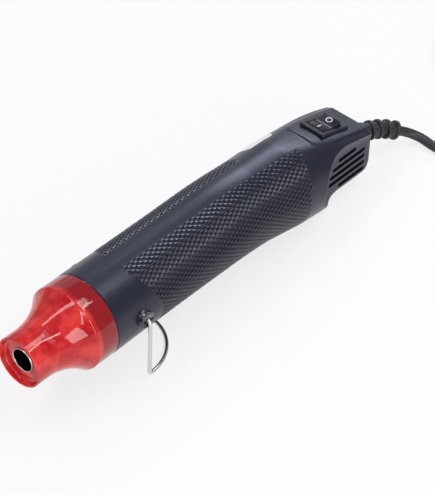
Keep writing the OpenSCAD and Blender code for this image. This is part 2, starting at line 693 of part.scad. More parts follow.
module mains_leads() color([0.35, 0.2, 0.12]) rested() {
    swept([[-tail_front, core_off, -relief_z], [-tail_front + 2, core_off, -relief_z],
        [-tail_front + 2 * core_turn, 4, -relief_z + 1.5], [-tail_front + 7, 4.6, -relief_z + 4.5]], lead_r, 6);
    swept([[-tail_front, -core_off, -relief_z], [-tail_front + 2, -core_off, -relief_z],
        [-tail_front + 12, -2 * core_y, -relief_z - 1], [-tail_front + 30, -2 * core_y, -relief_z + 1],
        [-board_rear - 12, -2 * core_y, -core_z], [-board_rear - 3 * core_turn, -core_y - 1, core_z / 2],
        [-board_rear - core_turn, -core_y, core_z], [-board_rear, -core_y, core_z]], lead_r, 6);
}

// Cord tail, clamp and strain relief
flange_w = 1.6;
flange_r = rib_r - 0.3;
tail_rear = housing_end - wall - flange_w - seat / 2;
module cord_tail() color([0.08, 0.08, 0.09]) rested()
    at(tail_front) translate([-relief_z, 0, 0]) cylinder(d = cord_d, h = tail_rear - tail_front);
clamp_t = 1.6;
module cord_clamp() color([0.3, 0.3, 0.3]) rested() difference() {
    block([-clamp_x - clamp_w, -clamp_seat - clamp_t, clamp_places[0] - clamp_post_r],
        [-clamp_x, -clamp_seat, clamp_places[1] + clamp_post_r]);
    for (z = clamp_places) across(clamp_x + clamp_w / 2, z, screw_r + fit, -far, far);
}
module screw(place, height, head_y, length) {
    across(place, height, screw_head_r, head_y - screw_head_h, head_y);
    across(place, height, screw_r, head_y, head_y + length);
}
module clamp_screws() color([0.75, 0.75, 0.72]) rested() for (z = clamp_places)
    screw(clamp_x + clamp_w / 2, z, -clamp_seat - clamp_t, 8);
module case_screws() color([0.75, 0.75, 0.72]) rested() for (post = post_places)
    screw(post[0], post[1], -screw_seat, screw_len);

relief_yaw = 31;
relief_droop = 25;
relief_pitch = relief_len / relief_ribs;
relief_rib = 2;
function relief_dir(u) = [-cos(relief_droop * u) * cos(relief_yaw * u), cos(relief_droop * u) * sin(relief_yaw * u),
    -sin(relief_droop * u)];
relief_joints = [for (i = 0, p = [-housing_end, 0, -relief_z]; i <= relief_ribs;
    p = p + relief_pitch * relief_dir((i + 0.5) / relief_ribs), i = i + 1) p];
relief_end = relief_joints[relief_ribs];
relief_end_dir = relief_dir((relief_ribs - 0.5) / relief_ribs);
module toward(from, d) translate(from) rotate([0, acos(d[2]), atan2(d[1], d[0])]) children();
module strain_relief() color([0.09, 0.09, 0.1]) rested() {
    at(housing_end - wall - flange_w - seat / 2) translate([-relief_z, 0, 0]) {
        cylinder(r = flange_r, h = flange_w);
        cylinder(r = neck_r, h = flange_w + wall + seat / 2 + 2);
    }
    for (i = [0:relief_ribs - 1]) toward(relief_joints[i], relief_dir((i + 0.5) / relief_ribs)) {
        translate([0, 0, i == 0 ? 0 : -0.5]) cylinder(r = relief_r, h = relief_pitch + (i == 0 ? 0 : 0.5));
        translate([0, 0, relief_pitch - relief_rib]) cylinder(r = rib_r - 0.12 * i, h = relief_rib);
    }
}

// The cord outside the housing, in the table's own frame: a free stretch, a two layer coil, an end and a plug
function on_table(p) = [rest_shift + p[0] * cos(tilt) - p[2] * sin(tilt), p[1],
    rest_lift + p[0] * sin(tilt) + p[2] * cos(tilt)];
lead_start = on_table(relief_end);
lead_dir = on_table(relief_end + relief_end_dir) - lead_start;
cord_r = cord_d / 2;
coil_pitch = cord_d + 0.45;
coil_centre = [-238, 12, cord_r];
coil_out_r = coil_in_r + coil_turns * coil_pitch;
coil_steps = 24;
coil_first = 90;
coil_dip = 1;
coil_step_out = 2;
climb = coil_steps / 2;
layer = coil_turns * coil_steps;
storey = layer + climb;
coil_last = coil_layers * storey - climb;
function floor_of(i) = floor(i / storey);
function wound(i) = min(layer, i % storey);
function climbed(i) = max(0, i % storey - layer) / climb;
function coil_r(i) = floor_of(i) % 2 == 0 ? coil_out_r - coil_pitch * wound(i) / coil_steps - coil_dip * sin(180 * climbed(i))
    : coil_in_r + coil_pitch * wound(i) / coil_steps + coil_dip * sin(180 * climbed(i));
function coil_rise(i) = coil_pitch * (floor_of(i) + (1 - cos(180 * climbed(i))) / 2);
function round_at(a) = [cos(a), sin(a), 0];
function along_at(a) = [-sin(a), cos(a), 0];
coil_turned = [for (i = [0:coil_last]) coil_centre + coil_r(i) * round_at(coil_first + 360 * i / coil_steps)
    + [0, 0, coil_rise(i)]];
coil_out = coil_first + 360 * coil_last / coil_steps;
coil_route = concat([coil_turned[0] - cord_d * along_at(coil_first)], coil_turned,
    [coil_turned[coil_last] + coil_step_out * along_at(coil_out)]);
lead_turn_r = 21.2;
lead_turn = [-173.4, coil_centre[1] + coil_out_r - lead_turn_r, cord_r];
lead_route = concat([lead_start, lead_start + cord_d * lead_dir],
    [[-149.6, 13.5, 6.1], [-151.5, 17.6, 4.6], [-152.2, 22.2, 3.3]],
    [for (a = [15:15:90]) lead_turn + lead_turn_r * round_at(a)],
    [for (x = [-190, -206, -222]) [x, lead_turn[1] + lead_turn_r, cord_r]],
    [coil_route[0] - cord_d * along_at(coil_first), coil_route[0]]);

// The cord's end rises off the coil and turns in over it, so that the plug lies on top
coil_exit = coil_route[len(coil_route) - 1];
plug_half = 7.95;
plug_lift = cord_r + plug_half + fit;
tuck_r = 20;
wide_r = coil_out_r - coil_step_out;
tuck_steps = 6;
function raised(share) = plug_lift * (1 - cos(180 * share)) / 2;
function end_share(length) = length / (wide_r + tuck_r);
end_route = concat([coil_exit, coil_exit + along_at(coil_out)],
    [for (i = [1:tuck_steps]) let (a = 90 * i / tuck_steps) coil_exit + along_at(coil_out)
        + wide_r * [sin(a), 1 - cos(a), 0] + [0, 0, raised(end_share(wide_r * i / tuck_steps))]],
    [for (i = [1:tuck_steps]) let (a = 90 * i / tuck_steps) coil_exit + along_at(coil_out)
        + [wide_r - tuck_r * (1 - cos(a)), wide_r + tuck_r * sin(a), raised(end_share(wide_r + tuck_r * i / tuck_steps))]]);
plug_at = end_route[len(end_route) - 1];
module on_cord_end() translate(plug_at) rotate([0, 0, coil_out - 90]) children();
module cord_lead() color([0.08, 0.08, 0.09]) swept(lead_route, cord_r, 10);
module cord_coil() color([0.08, 0.08, 0.09]) {
    gaps = [for (i = [0:coil_last - 15], j = [i + 15:coil_last]) norm(coil_turned[i] - coil_turned[j])];
    echo(least_gap = min(gaps) - cord_d);
    swept(coil_route, cord_r, 6);
}
module cord_end() color([0.08, 0.08, 0.09]) swept(end_route, cord_r, 10);
plug_neck = 12;
plug_len = 38;
neck_end = 4.6;
blade_off = 6.35;
blade_t = 1.5;
blade_h = 6.3;
blade_in = 5;
blade_hole = 3.2;
module plug_blade_at(side, grow) translate([plug_len - blade_in, side * blade_off - blade_t / 2 - grow, -blade_h / 2 - grow])
    cube([blade_len + blade_in, blade_t + 2 * grow, blade_h + 2 * grow]);
module plug_body() color([0.1, 0.1, 0.11]) on_cord_end() difference() {
    union() {
        rotate([0, 90, 0]) cylinder(r1 = cord_r + 1, r2 = neck_end, h = plug_neck + 2);
        for (place = [3, 6.5, 10]) translate([place, 0, 0]) rotate([0, 90, 0]) cylinder(r = neck_end, h = 1.6);
        intersection() {
            translate([0, 0, -plug_half]) linear_extrude(2 * plug_half) polygon([[plug_neck, -neck_end],
                [plug_neck + 8, -plug_w / 2 + 1], [plug_neck + 11, -plug_w / 2], [plug_len - 1.5, -plug_w / 2],
                [plug_len, -plug_w / 2 + 1.5], [plug_len, plug_w / 2 - 1.5], [plug_len - 1.5, plug_w / 2],
                [plug_neck + 11, plug_w / 2], [plug_neck + 8, plug_w / 2 - 1], [plug_neck, neck_end]]);
            translate([0, plug_w, 0]) rotate([90, 0, 0]) linear_extrude(2 * plug_w) polygon([[plug_neck, -neck_end],
                [plug_neck + 9, -plug_half], [plug_len - 1, -plug_half], [plug_len, -plug_half + 1],
                [plug_len, plug_half - 1], [plug_len - 1, plug_half], [plug_neck + 9, plug_half],
                [plug_neck, neck_end]]);
        }
    }
    for (side = [-1, 1]) plug_blade_at(side, fit);
}
module plug_blades() color([0.8, 0.75, 0.6]) on_cord_end() for (side = [-1, 1]) difference() {
    plug_blade_at(side, 0);
    translate([plug_len + blade_len - 4, side * blade_off, 0]) rotate([90, 0, 0])
        cylinder(d = blade_hole, h = blade_t + 2, center = true);
}

// The stand, one bent wire: pins, legs and a half round foot that lies level on the table
wire_r = wire_d / 2;
foot_lap = 0.6;
foot_turn = 90 + tilt;
foot_tangent = wire_bend * tan(foot_turn / 2);
module wire_stand() color([0.8, 0.8, 0.82]) rested() translate([-stand_x, 0, stand_z]) {
    for (side = [0, 1]) mirror([0, side, 0]) {
        across(0, 0, wire_r, boss_face - pin_len, stand_half - wire_bend);
        translate([0, stand_half - wire_bend, -wire_bend]) rotate([0, -90, 0]) rotate_extrude(angle = 90)
            translate([wire_bend, 0]) circle(r = wire_r);
        translate([0, stand_half, -leg_len + foot_tangent]) cylinder(r = wire_r,
            h = leg_len - foot_tangent - wire_bend);
        translate([-wire_bend, stand_half, -leg_len + foot_tangent]) rotate([-90, 0, 0])
            rotate_extrude(angle = foot_turn) translate([wire_bend, 0]) circle(r = wire_r);
    }
    translate([-foot_tangent * cos(tilt), 0, -leg_len + foot_tangent * sin(tilt)]) rotate([0, tilt, 0])
        rotate([0, 0, 90 - foot_lap]) rotate_extrude(angle = 180 + 2 * foot_lap) translate([stand_half, 0])
            circle(r = wire_r - 0.03);
}

// Draw the asked node
left_shell();
right_shell();
nozzle_guard();
nozzle_tube();
mica_sleeve();
mica_card_upright();
mica_card_flat();
element_base();
heating_coil();
thermal_cutout();
air_duct();
fan_wheel();
motor_shaft();
motor_case();
motor_end_cap();
motor_mount();
motor_screws();
rectifier_board();
diodes();
switch_case();
switch_rocker();
switch_terminals();
heater_leads();
mains_leads();
cord_clamp();
clamp_screws();
case_screws();
wire_stand();
strain_relief();
cord_tail();
cord_lead();
cord_coil();
cord_end();
plug_body();
plug_blades();
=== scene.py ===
import math
import bmesh
import bpy
import numpy as np
from mathutils import Matrix, Vector


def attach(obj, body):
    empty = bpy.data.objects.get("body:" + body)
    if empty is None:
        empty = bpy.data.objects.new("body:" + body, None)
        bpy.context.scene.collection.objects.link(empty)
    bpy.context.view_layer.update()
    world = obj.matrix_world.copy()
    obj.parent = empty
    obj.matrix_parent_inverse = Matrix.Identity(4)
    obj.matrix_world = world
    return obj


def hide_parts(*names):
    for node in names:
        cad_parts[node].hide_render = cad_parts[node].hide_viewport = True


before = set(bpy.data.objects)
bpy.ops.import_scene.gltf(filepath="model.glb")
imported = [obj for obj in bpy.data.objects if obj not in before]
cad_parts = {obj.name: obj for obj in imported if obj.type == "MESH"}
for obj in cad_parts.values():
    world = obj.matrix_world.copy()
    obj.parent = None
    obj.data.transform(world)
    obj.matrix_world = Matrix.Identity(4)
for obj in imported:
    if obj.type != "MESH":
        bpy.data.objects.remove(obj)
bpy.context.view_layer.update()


def into_scene(name, data):
    """A new object of some data, linked into the scene."""
    made = bpy.data.objects.new(name, data)
    bpy.context.scene.collection.objects.link(made)
    return made


# The camera stands where the photograph was taken from, on the tool's left, above its nose.
# Its focal length is given in pixels of the photograph and turned into millimetres of a 24 mm sensor.
camera_data = bpy.data.cameras.new("camera")
camera = into_scene("camera", camera_data)
photo_height = 495
focal_pixels = 2500
camera_data.sensor_fit = "VERTICAL"
camera_data.sensor_height = 24
camera_data.lens = camera_data.sensor_height * focal_pixels / photo_height
camera_data.clip_end = 20
camera_place = (0.62417, 0.56856, 0.83355)
camera_right = Vector((-0.6674, 0.744, 0.006))
camera_back = Vector((0.5405, 0.479, 0.6918)).normalized()
camera_up = camera_back.cross(camera_right).normalized()
camera_right = camera_up.cross(camera_back).normalized()
camera_turn = Matrix((camera_right, camera_up, camera_back)).transposed()
camera.matrix_world = Matrix.Translation(camera_place) @ camera_turn.to_4x4()
bpy.context.scene.camera = camera

# The mains cord is a round black flex, 5 mm thick. It leaves the strain relief, drops to the table and turns
# away behind the tool, where the rest is wound into a coil of four layers with the plug on top of it.
# Places along the tool are in millimetres behind the nozzle's mouth, tipped onto the stand as in the CAD.
tilt = math.radians(1.97954)
rest_shift = 111.5
rest_lift = 35.0152


def on_table(x, y, z):
    """A point of the tool's own frame, in millimetres, becomes a point of the row frame, in metres."""
    return Vector((rest_shift + x * math.cos(tilt) - z * math.sin(tilt), y,
                   rest_lift + x * math.sin(tilt) + z * math.cos(tilt))) / 1000


cord_d = 5
relief_z = 9.5
relief_len = 31
relief_ribs = 6
relief_yaw = 31
relief_droop = 25
housing_end = 226


def relief_dir(share):
    """The strain relief droops and turns to the left along its length."""
    down, side = math.radians(relief_droop * share), math.radians(relief_yaw * share)
    return Vector((-math.cos(down) * math.cos(side), math.cos(down) * math.sin(side), -math.sin(down)))


relief_joints = [Vector((-housing_end, 0, -relief_z))]
for i in range(relief_ribs):
    relief_joints.append(relief_joints[-1] + relief_dir((i + 0.5) / relief_ribs) * relief_len / relief_ribs)
relief_end = relief_joints[-1]
lead_start = on_table(*relief_end) * 1000
past_end = relief_end + relief_dir((relief_ribs - 0.5) / relief_ribs)
lead_way = (on_table(*past_end) * 1000 - lead_start).normalized()


def round_at(degrees):
    return Vector((math.cos(math.radians(degrees)), math.sin(math.radians(degrees)), 0))


coil_pitch = cord_d + 0.45
coil_centre = Vector((-238, 12, cord_d / 2))
coil_turns = 1.5
coil_layers = 4
coil_in_r = 23.2
coil_out_r = coil_in_r + coil_turns * coil_pitch
coil_steps = 24
coil_first = 90
coil_dip = 1
climb = coil_steps // 2
layer = int(coil_turns * coil_steps)
storey = layer + climb
coil_last = coil_layers * storey - climb


def coil_point(i):
    """Layers wind in and out by turns, and the cord climbs to the next one in half a turn."""
    wound, climbed = min(layer, i % storey), max(0, i % storey - layer) / climb
    bulge = coil_dip * math.sin(math.pi * climbed)
    if i // storey % 2 == 0:
        r = coil_out_r - coil_pitch * wound / coil_steps - bulge
    else:
        r = coil_in_r + coil_pitch * wound / coil_steps + bulge
    rise = coil_pitch * (i // storey + (1 - math.cos(math.pi * climbed)) / 2)
    return coil_centre + r * round_at(coil_first + 360 * i / coil_steps) + Vector((0, 0, rise))


coil_in_way = round_at(coil_first + 90)
coil_out_way = round_at(coil_first + 360 * coil_last / coil_steps + 90)
lead_turn_r = 21.2
lead_turn = Vector((-173.4, coil_centre.y + coil_out_r - lead_turn_r, cord_d / 2))
coil_enter = coil_point(0) - cord_d * coil_in_way
coil_exit = coil_point(coil_last) + 2 * coil_out_way
plug_half = 7.95
fit = 0.05
plug_lift = cord_d / 2 + plug_half + fit
tuck_r = 20
wide_r = coil_out_r - 2


def end_point(i):
    """The cord's end rises off the coil in a wide bend and turns in over it in a close one, 6 steps each."""
    a, b = math.pi / 12 * min(i, 6), math.pi / 12 * max(0, i - 6)
    share = (wide_r * min(i, 6) + tuck_r * max(0, i - 6)) / 6 / (wide_r + tuck_r)
    return coil_exit + coil_out_way + Vector((wide_r * math.sin(a) - tuck_r * (1 - math.cos(b)),
                                              wide_r * (1 - math.cos(a)) + tuck_r * math.sin(b),
                                              plug_lift * (1 - math.cos(math.pi * share)) / 2))


drop_to_table = ((-149.6, 13.5, 6.1), (-151.5, 17.6, 4.6), (-152.2, 22.2, 3.3))
straight_x = (-190, -206, -222)
cord_route = [lead_start, lead_start + cord_d * lead_way]
cord_route += [Vector(p) for p in drop_to_table]
cord_route += [lead_turn + lead_turn_r * round_at(a) for a in range(15, 91, 15)]
cord_route += [Vector((x, lead_turn.y + lead_turn_r, cord_d / 2)) for x in straight_x]
cord_route += [coil_enter - cord_d * coil_in_way, coil_enter]
cord_route += [coil_point(i) for i in range(coil_last + 1)]
cord_route += [coil_exit, coil_exit + coil_out_way] + [end_point(i) for i in range(1, 13)]
cord_curve = bpy.data.curves.new("mains_cord", "CURVE")
cord_curve.dimensions = "3D"
cord_curve.bevel_depth = cord_d / 2000
cord_curve.bevel_resolution = 5
cord_curve.resolution_u = 3
cord_curve.use_fill_caps = True
spline = cord_curve.splines.new("BEZIER")
spline.bezier_points.add(len(cord_route) - 1)
for i, (point, place) in enumerate(zip(spline.bezier_points, cord_route)):
    before, after = cord_route[max(i - 1, 0)], cord_route[min(i + 1, len(cord_route) - 1)]
    way = (after - before).normalized()
    point.co = place / 1000
    point.handle_left = (place - way * (place - before).length / 3) / 1000
    point.handle_right = (place + way * (after - place).length / 3) / 1000
mains_cord = into_scene("mains_cord", cord_curve)
cord_length = sum((b - a).length for a, b in zip(cord_route, cord_route[1:])) / 1000


class Wire:
    """One output of a material's nodes: signs between wires add Math nodes, node() adds any other node."""

    def __init__(self, tree, socket):
        self.tree = tree
        self.socket = socket

    def node(self, kind, settings=None, sockets=None, out=0):
        made = self.tree.nodes.new(kind)
        for name, value in (settings or {}).items():
            if name == "stops":
                ramp = made.color_ramp.elements
                while len(ramp) < len(value):
                    ramp.new(0.5)
                for stop, (place, colour) in zip(ramp, value):
                    stop.position = place
                    stop.color = (*colour, 1)
            else:
                setattr(made, name, value)
        for name, value in (sockets or {}).items():
            if isinstance(value, Wire):
                self.tree.links.new(value.socket, made.inputs[name])
            else:
                made.inputs[name].default_value = value
        return Wire(self.tree, made.outputs[out])

    def maths(self, operation, *others):
        return self.node("ShaderNodeMath", {"operation": operation}, dict(enumerate((self, *others))))

    def __add__(self, other):
        return self.maths("ADD", other)

    __radd__ = __add__

    def __sub__(self, other):
        return self.maths("SUBTRACT", other)

    def __rsub__(self, other):
        return self.node("ShaderNodeMath", {"operation": "SUBTRACT"}, {0: other, 1: self})

    def __mul__(self, other):
        return self.maths("MULTIPLY", other)

    __rmul__ = __mul__

    def __truediv__(self, other):
        return self.maths("DIVIDE", other)

    def least(self, other):
        return self.maths("MINIMUM", other)

    def most(self, other):
        return self.maths("MAXIMUM", other)

    def axes(self):
        """The three numbers of a place."""
        apart = self.node("ShaderNodeSeparateXYZ", None, {"Vector": self}).socket.node
        return [Wire(self.tree, output) for output in apart.outputs]

    def step(self, low, high):
        """0 below low, 1 above high and a soft rise between them."""
        return self.node("ShaderNodeMapRange", {"interpolation_type": "SMOOTHSTEP"},
                         {"Value": self, "From Min": low, "From Max": high})

    def noise(self, scale, detail=2, rough=0.5):
        """Noise over this wire's vector, with its features one unit over scale across."""
        return self.node("ShaderNodeTexNoise", None,
                         {"Vector": self, "Scale": scale, "Detail": detail, "Roughness": rough})

    def mixed(self, low, high):
        """A colour between two, by this wire's value."""
        return self.node("ShaderNodeMix", {"data_type": "RGBA"},
                         {"Factor": self, 6: (*low, 1) if isinstance(low, tuple) else low,
                          7: (*high, 1) if isinstance(high, tuple) else high}, out=2)

    def bump(self, depth):
        """A normal raised by this wire's value, depth in metres."""
        return self.node("ShaderNodeBump", None, {"Height": self, "Distance": depth})


def finish_of(name):
    """A new material, its shader and the place on the piece in the tool's own frame, in millimetres."""
    made = bpy.data.materials.new(name)
    made.use_nodes = True
    tree = made.node_tree
    shader = tree.nodes["Principled BSDF"]
    where = Wire(tree, tree.nodes.new("ShaderNodeTexCoord").outputs["Object"])
    place = where.node("ShaderNodeMapping", {"vector_type": "TEXTURE"}, {
        "Vector": where, "Location": (rest_shift / 1000, 0, rest_lift / 1000), "Rotation": (0, -tilt, 0),
        "Scale": (0.001, 0.001, 0.001)})
    return made, shader, place


def surface(made, shader, **sockets):
    """Sets or links the shader's own sockets, named with low lines for their spaces."""
    for name, value in sockets.items():
        socket = shader.inputs[name.replace("_", " ")]
        if isinstance(value, Wire):
            made.node_tree.links.new(value.socket, socket)
        else:
            socket.default_value = (*value, 1) if isinstance(value, tuple) and len(value) == 3 else value
    return made


def mottled(name, low, high, noise, rough, depth, **more):
    """A material of two tones mixed by one noise, which also makes its roughness and its bump."""
    made, shader, place = finish_of(name)
    mottle = place.noise(*noise)
    span, base = rough
    return surface(made, shader, Base_Color=mottle.mixed(low, high), Roughness=mottle * span + base,
                   Normal=mottle.bump(depth), **more)


def dressed(piece, made_of):
    """Gives a piece or a CAD node its one material."""
    piece.data.materials.clear()
    piece.data.materials.append(made_of)


def placed(piece, body, slot, made_of, *nodes):
    """Gives a piece its material, lets it ride on a body and stand for CAD nodes. The slot is not used."""
    dressed(piece, made_of)
    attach(piece, body)
    if nodes:
        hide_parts(*nodes)
    return piece


cord_black, shader, place = finish_of("cord_black")
grain = place.noise(2.2, 3)
rubbed = place.noise(0.12, 2).step(0.35, 0.75)
surface(cord_black, shader, Base_Color=rubbed.mixed((0.012, 0.012, 0.014), (0.03, 0.03, 0.034)),
        Roughness=grain * 0.12 + 0.36, Normal=grain.bump(0.00006), IOR=1.5)
placed(mains_cord, "tool", "cord_black", cord_black, "cord_lead", "cord_coil", "cord_end")

# The housing is two dark blue-black ABS shells, moulded with a finely sparked skin and joined on a seam that
# runs round the middle. The grip's sides are knurled, and the rear has a raised switch deck and vented scoops.
# One skin is found by looking outward from the grip's centre line at every place along it.
wall = 2
waist_r = 21
collar_r = 21.4
waist_x = 88
housing_front = 39.3
bend_x = 118
bend_radius = 273
bend_turn = math.radians(6.2)
bend_skin = waist_r + (collar_r - waist_r) * ((bend_x - waist_x) / (waist_x - housing_front)) ** 2
tail_x = bend_x + bend_radius * math.sin(bend_turn)
heel_r = 22.6
tail_grow = 24
tail_len = (housing_end - tail_x) / math.cos(bend_turn)
tail_round = 20
tail_shrink = 2.4
deck_x = 205.4
deck_z = 11.2
deck_turn = math.radians(16.6)
deck_edge = 2.5
pad_h = 1
pad_w = 24
pad_front = 18.2
pad_corner = 6
pad_slope = 2.2
scoop_x = 204
scoop_z = -9
scoop_turn = math.radians(10.6)
scoop_flat = 12
scoop_cove = 10
scoop_y = 24
under_x = 203
under_z = -33
under_cove = 11
head_edge = 4.5
head_corner = 9


def centre_height(s):
    """Height of the grip's centre line over the tool's axis, s millimetres behind the mouth."""
    bent = np.sqrt(bend_radius ** 2 - np.clip(s - bend_x, 0, tail_x - bend_x) ** 2) - bend_radius
    return bent - np.clip(s - tail_x, 0, None) * math.tan(bend_turn)


def grip_radius(s):
    """Radius of the grip round its centre line."""
    from_waist = (np.minimum(s, bend_x) - waist_x) / (waist_x - housing_front)
    front = waist_r + (collar_r - waist_r) * from_waist ** 2
    along = (s - tail_x) / math.cos(bend_turn)
    tail = np.interp(along, [0, tail_grow, tail_len - tail_round, tail_len - tail_round / 2, tail_len],
                     [bend_skin, heel_r, heel_r, heel_r - tail_shrink * 0.3, heel_r - tail_shrink])
    return np.where(s < tail_x, front, tail)


def both(a, b, r):
    """The part inside both forms, with the edge between them rounded to radius r."""
    return np.minimum(np.maximum(a, b), -r) + np.hypot(np.maximum(a + r, 0), np.maximum(b + r, 0))


def housing_depth(s, y, z):
    """How far a place stands outside the housing's outer skin, less than 0 inside."""
    slope = np.clip(s - bend_x, 0, tail_x - bend_x) / bend_radius
    grip = np.hypot(y, (z - centre_height(s)) * np.sqrt(1 - slope * slope)) - grip_radius(s)
    along = (deck_x - s) / math.cos(deck_turn)
    edge_x = along - pad_front + pad_corner
    edge_y = np.abs(y) - pad_w / 2 + pad_corner
    outside = np.hypot(np.maximum(edge_x, 0), np.maximum(edge_y, 0)) + np.minimum(
        np.maximum(edge_x, edge_y), 0) - pad_corner
    raised = np.clip(0.5 - outside / pad_slope, 0, 1)
    raised = raised * raised * (3 - 2 * raised) * pad_h
    deck = (z - deck_z - (deck_x - s) * math.tan(deck_turn)) * math.cos(deck_turn) + pad_h - raised
    body = both(grip, deck, deck_edge)
    back_s, back_z = math.cos(scoop_turn), -math.sin(scoop_turn)
    from_s, from_z = s - scoop_x, z - scoop_z
    run = np.maximum(from_s * back_s + from_z * back_z, 0)
    round_scoop = np.hypot(from_s - run * back_s, from_z - run * back_z)
    scoop = scoop_cove - np.hypot(np.maximum(round_scoop - scoop_flat, 0), np.maximum(scoop_y - np.abs(y), 0))
    under = under_cove - np.hypot(np.maximum(under_x - s, 0), np.maximum(z - under_z, 0))
    body = both(body, both(scoop, under, head_edge), 0.7)
    body = both(body, both(under, s - housing_end, head_corner), 1.1)
    flat = -(rest_lift - s * math.sin(tilt) + z * math.cos(tilt))
    return both(body, flat, 0.4)


def soft_edge(inside, width):
    """0 outside an edge, 1 a width inside it and a soft rise between them."""
    share = np.clip(inside / width, 0, 1)
    return share * share * (3 - 2 * share)


panel_front = 56.7
panel_rear = 179
panel_rear_right = 152
panel_low = 166
slant_from = 16
slant_turns = 75
front_slant = 0.155
rear_slant = 0.11
knurl_row = 1.04
knurl_turns = 216
knurl_depth = 0.42


def knurl_panel(s, degrees):
    """1 in the two knurled panels of the grip, 0 outside; degrees run from the top, above 0 on the left."""
    slant = np.clip(np.abs(degrees) - slant_from, 0, slant_turns)
    left = soft_edge(degrees - 13, 4) * soft_edge(panel_low - degrees, 4) * soft_edge(
        panel_rear - rear_slant * slant - s, 1)
    right = soft_edge(-degrees - 14, 4) * soft_edge(degrees + panel_low, 4) * soft_edge(
        panel_rear_right - s, 1)
    return np.maximum(left, right) * soft_edge(s - panel_front - front_slant * slant, 1)


def knurl_height(s, degrees):
    """The knurl is a lattice of pyramids, two rows of the mesh long and wide from middle to edge."""
    rows, columns = s / knurl_row, degrees * knurl_turns / 360
    one_way, other_way = (rows + columns) / 4 % 1, (columns - rows) / 4 % 1
    pyramid = 1 - 2 * np.maximum(np.abs(one_way - 0.5), np.abs(other_way - 0.5))
    return knurl_depth * knurl_panel(s, degrees) * (pyramid - 0.4)


def skin_rings(stations, around, inset):
    """Rings of points where rays out of the centre line leave the housing, moved in by inset."""
    s = np.asarray(stations)[:, None] + np.zeros(len(around))
    out_y, out_z = np.sin(around)[None, :], np.cos(around)[None, :]
    middle = centre_height(s)
    high = np.zeros_like(s)
    found = np.zeros(s.shape, bool)
    for reach in np.arange(0.5, 27, 0.5):
        outside = housing_depth(s, out_y * reach, middle + out_z * reach) + inset > 0
        high = np.where(outside & ~found, reach, high)
        found |= outside
    low = high - 0.5
    for _ in range(12):
        mid = (low + high) / 2
        outside = housing_depth(s, out_y * mid, middle + out_z * mid) + inset > 0
        high, low = np.where(outside, mid, high), np.where(outside, low, mid)
    return np.stack([-s, out_y * low, middle + out_z * low], -1)


def mesh_piece(name, verts, faces, sharp=35, put=on_table):
    """An object from points, mostly in the tool's own frame, shaded smooth but for its sharp edges."""
    data = bpy.data.meshes.new(name)
    data.from_pydata([put(*v) for v in verts], [], faces)
    data.validate()
    data.shade_smooth()
    data.set_sharp_from_angle(angle=math.radians(sharp))
    return into_scene(name, data)


grip_rows = np.concatenate([[39.35, 39.6, 40], np.arange(42, 53, 2), knurl_row * np.arange(52, 175)])
head_rows = np.concatenate([np.arange(181.4, 225, 0.45), [225, 225.3, 225.6, 225.8, 225.93, 225.99]])
inner_rows = np.concatenate([[39.35], np.arange(44, 186, 6), np.arange(188, 223.9, 1.2), [223.9]])
round_grip = 2 * np.pi * np.arange(knurl_turns) / knurl_turns
round_head = np.pi * np.arange(2 * knurl_turns) / knurl_turns
grip_rings = skin_rings(grip_rows, round_grip, 0)
grip_rings[0, :, 1:] = grip_rings[1, :, 1:] * 0.988
heights = knurl_height(grip_rows[:, None], np.degrees((round_grip + np.pi) % (2 * np.pi) - np.pi)[None, :])
grip_rings[:, :, 1] += heights * np.sin(round_grip)
grip_rings[:, :, 2] += heights * np.cos(round_grip)
head_rings = skin_rings(head_rows, round_head, 0)
inner_rings = skin_rings(inner_rows, round_grip, wall)
verts = np.concatenate([rings.reshape(-1, 3) for rings in (grip_rings, head_rings, inner_rings)])
first_head = len(grip_rows) * knurl_turns
first_inner = first_head + len(head_rows) * 2 * knurl_turns
faces = []
for i in range(len(grip_rows) - 1):
    for k in range(knurl_turns):
        next_k = (k + 1) % knurl_turns
        a, b = i * knurl_turns + k, i * knurl_turns + next_k
        c, d = b + knurl_turns, a + knurl_turns
        straight, other = heights[i, k] + heights[i + 1, next_k], heights[i, next_k] + heights[i + 1, k]
        if straight == other == 0:
            faces.append((a, b, c, d))
        else:
            faces += [(a, b, c), (a, c, d)] if straight < other else [(a, b, d), (b, c, d)]
for k in range(knurl_turns):
    a, b = first_head - knurl_turns + k, first_head - knurl_turns + (k + 1) % knurl_turns
    c, d, e = (first_head + (2 * k + j) % (2 * knurl_turns) for j in range(3))
    faces += [(a, b, d), (b, e, d), (a, d, c)]
for start, rings, faces_out in ((first_head, head_rings, True), (first_inner, inner_rings, False)):
    turns = rings.shape[1]
    for i in range(len(rings) - 1):
        for k in range(turns):
            a, b = start + i * turns + k, start + i * turns + (k + 1) % turns
            faces.append((a, b, b + turns, a + turns) if faces_out else (a + turns, b + turns, b, a))
for k in range(knurl_turns):
    faces.append((k, first_inner + k, first_inner + (k + 1) % knurl_turns, (k + 1) % knurl_turns))
faces.append(tuple(range(first_inner - 2 * knurl_turns, first_inner)))
faces.append(tuple(range(len(verts) - 1, len(verts) - 1 - knurl_turns, -1)))
housing = mesh_piece("housing", verts, faces)


def walled(outline, low, high):
    """Points and faces of a closed form with an outline of (x, z), from one Y to another."""
    n = len(outline)
    points = [(x, y, z) for y in (low, high) for x, z in outline]
    return points, [(k, n + k, n + (k + 1) % n, (k + 1) % n) for k in range(n)] + [
        tuple(range(n)), tuple(range(2 * n - 1, n - 1, -1))]


def all_round(n):
    """The angles of n even steps round a circle."""
    return [2 * math.pi * k / n for k in range(n)]


def cylinder_across(s, z, r, y0, y1, sides=40):
    """Points and faces of a cylinder along Y, for a boss, a post or a hole."""
    return walled([(-s + r * math.cos(a), z + r * math.sin(a)) for a in all_round(sides)], *sorted((y0, y1)))


def gathered(forms):
    """Several lots of points and faces as one."""
    points, joined = [], []
    for some, its_faces in forms:
        joined += [tuple(len(points) + k for k in face) for face in its_faces]
        points += list(some)
    return points, joined


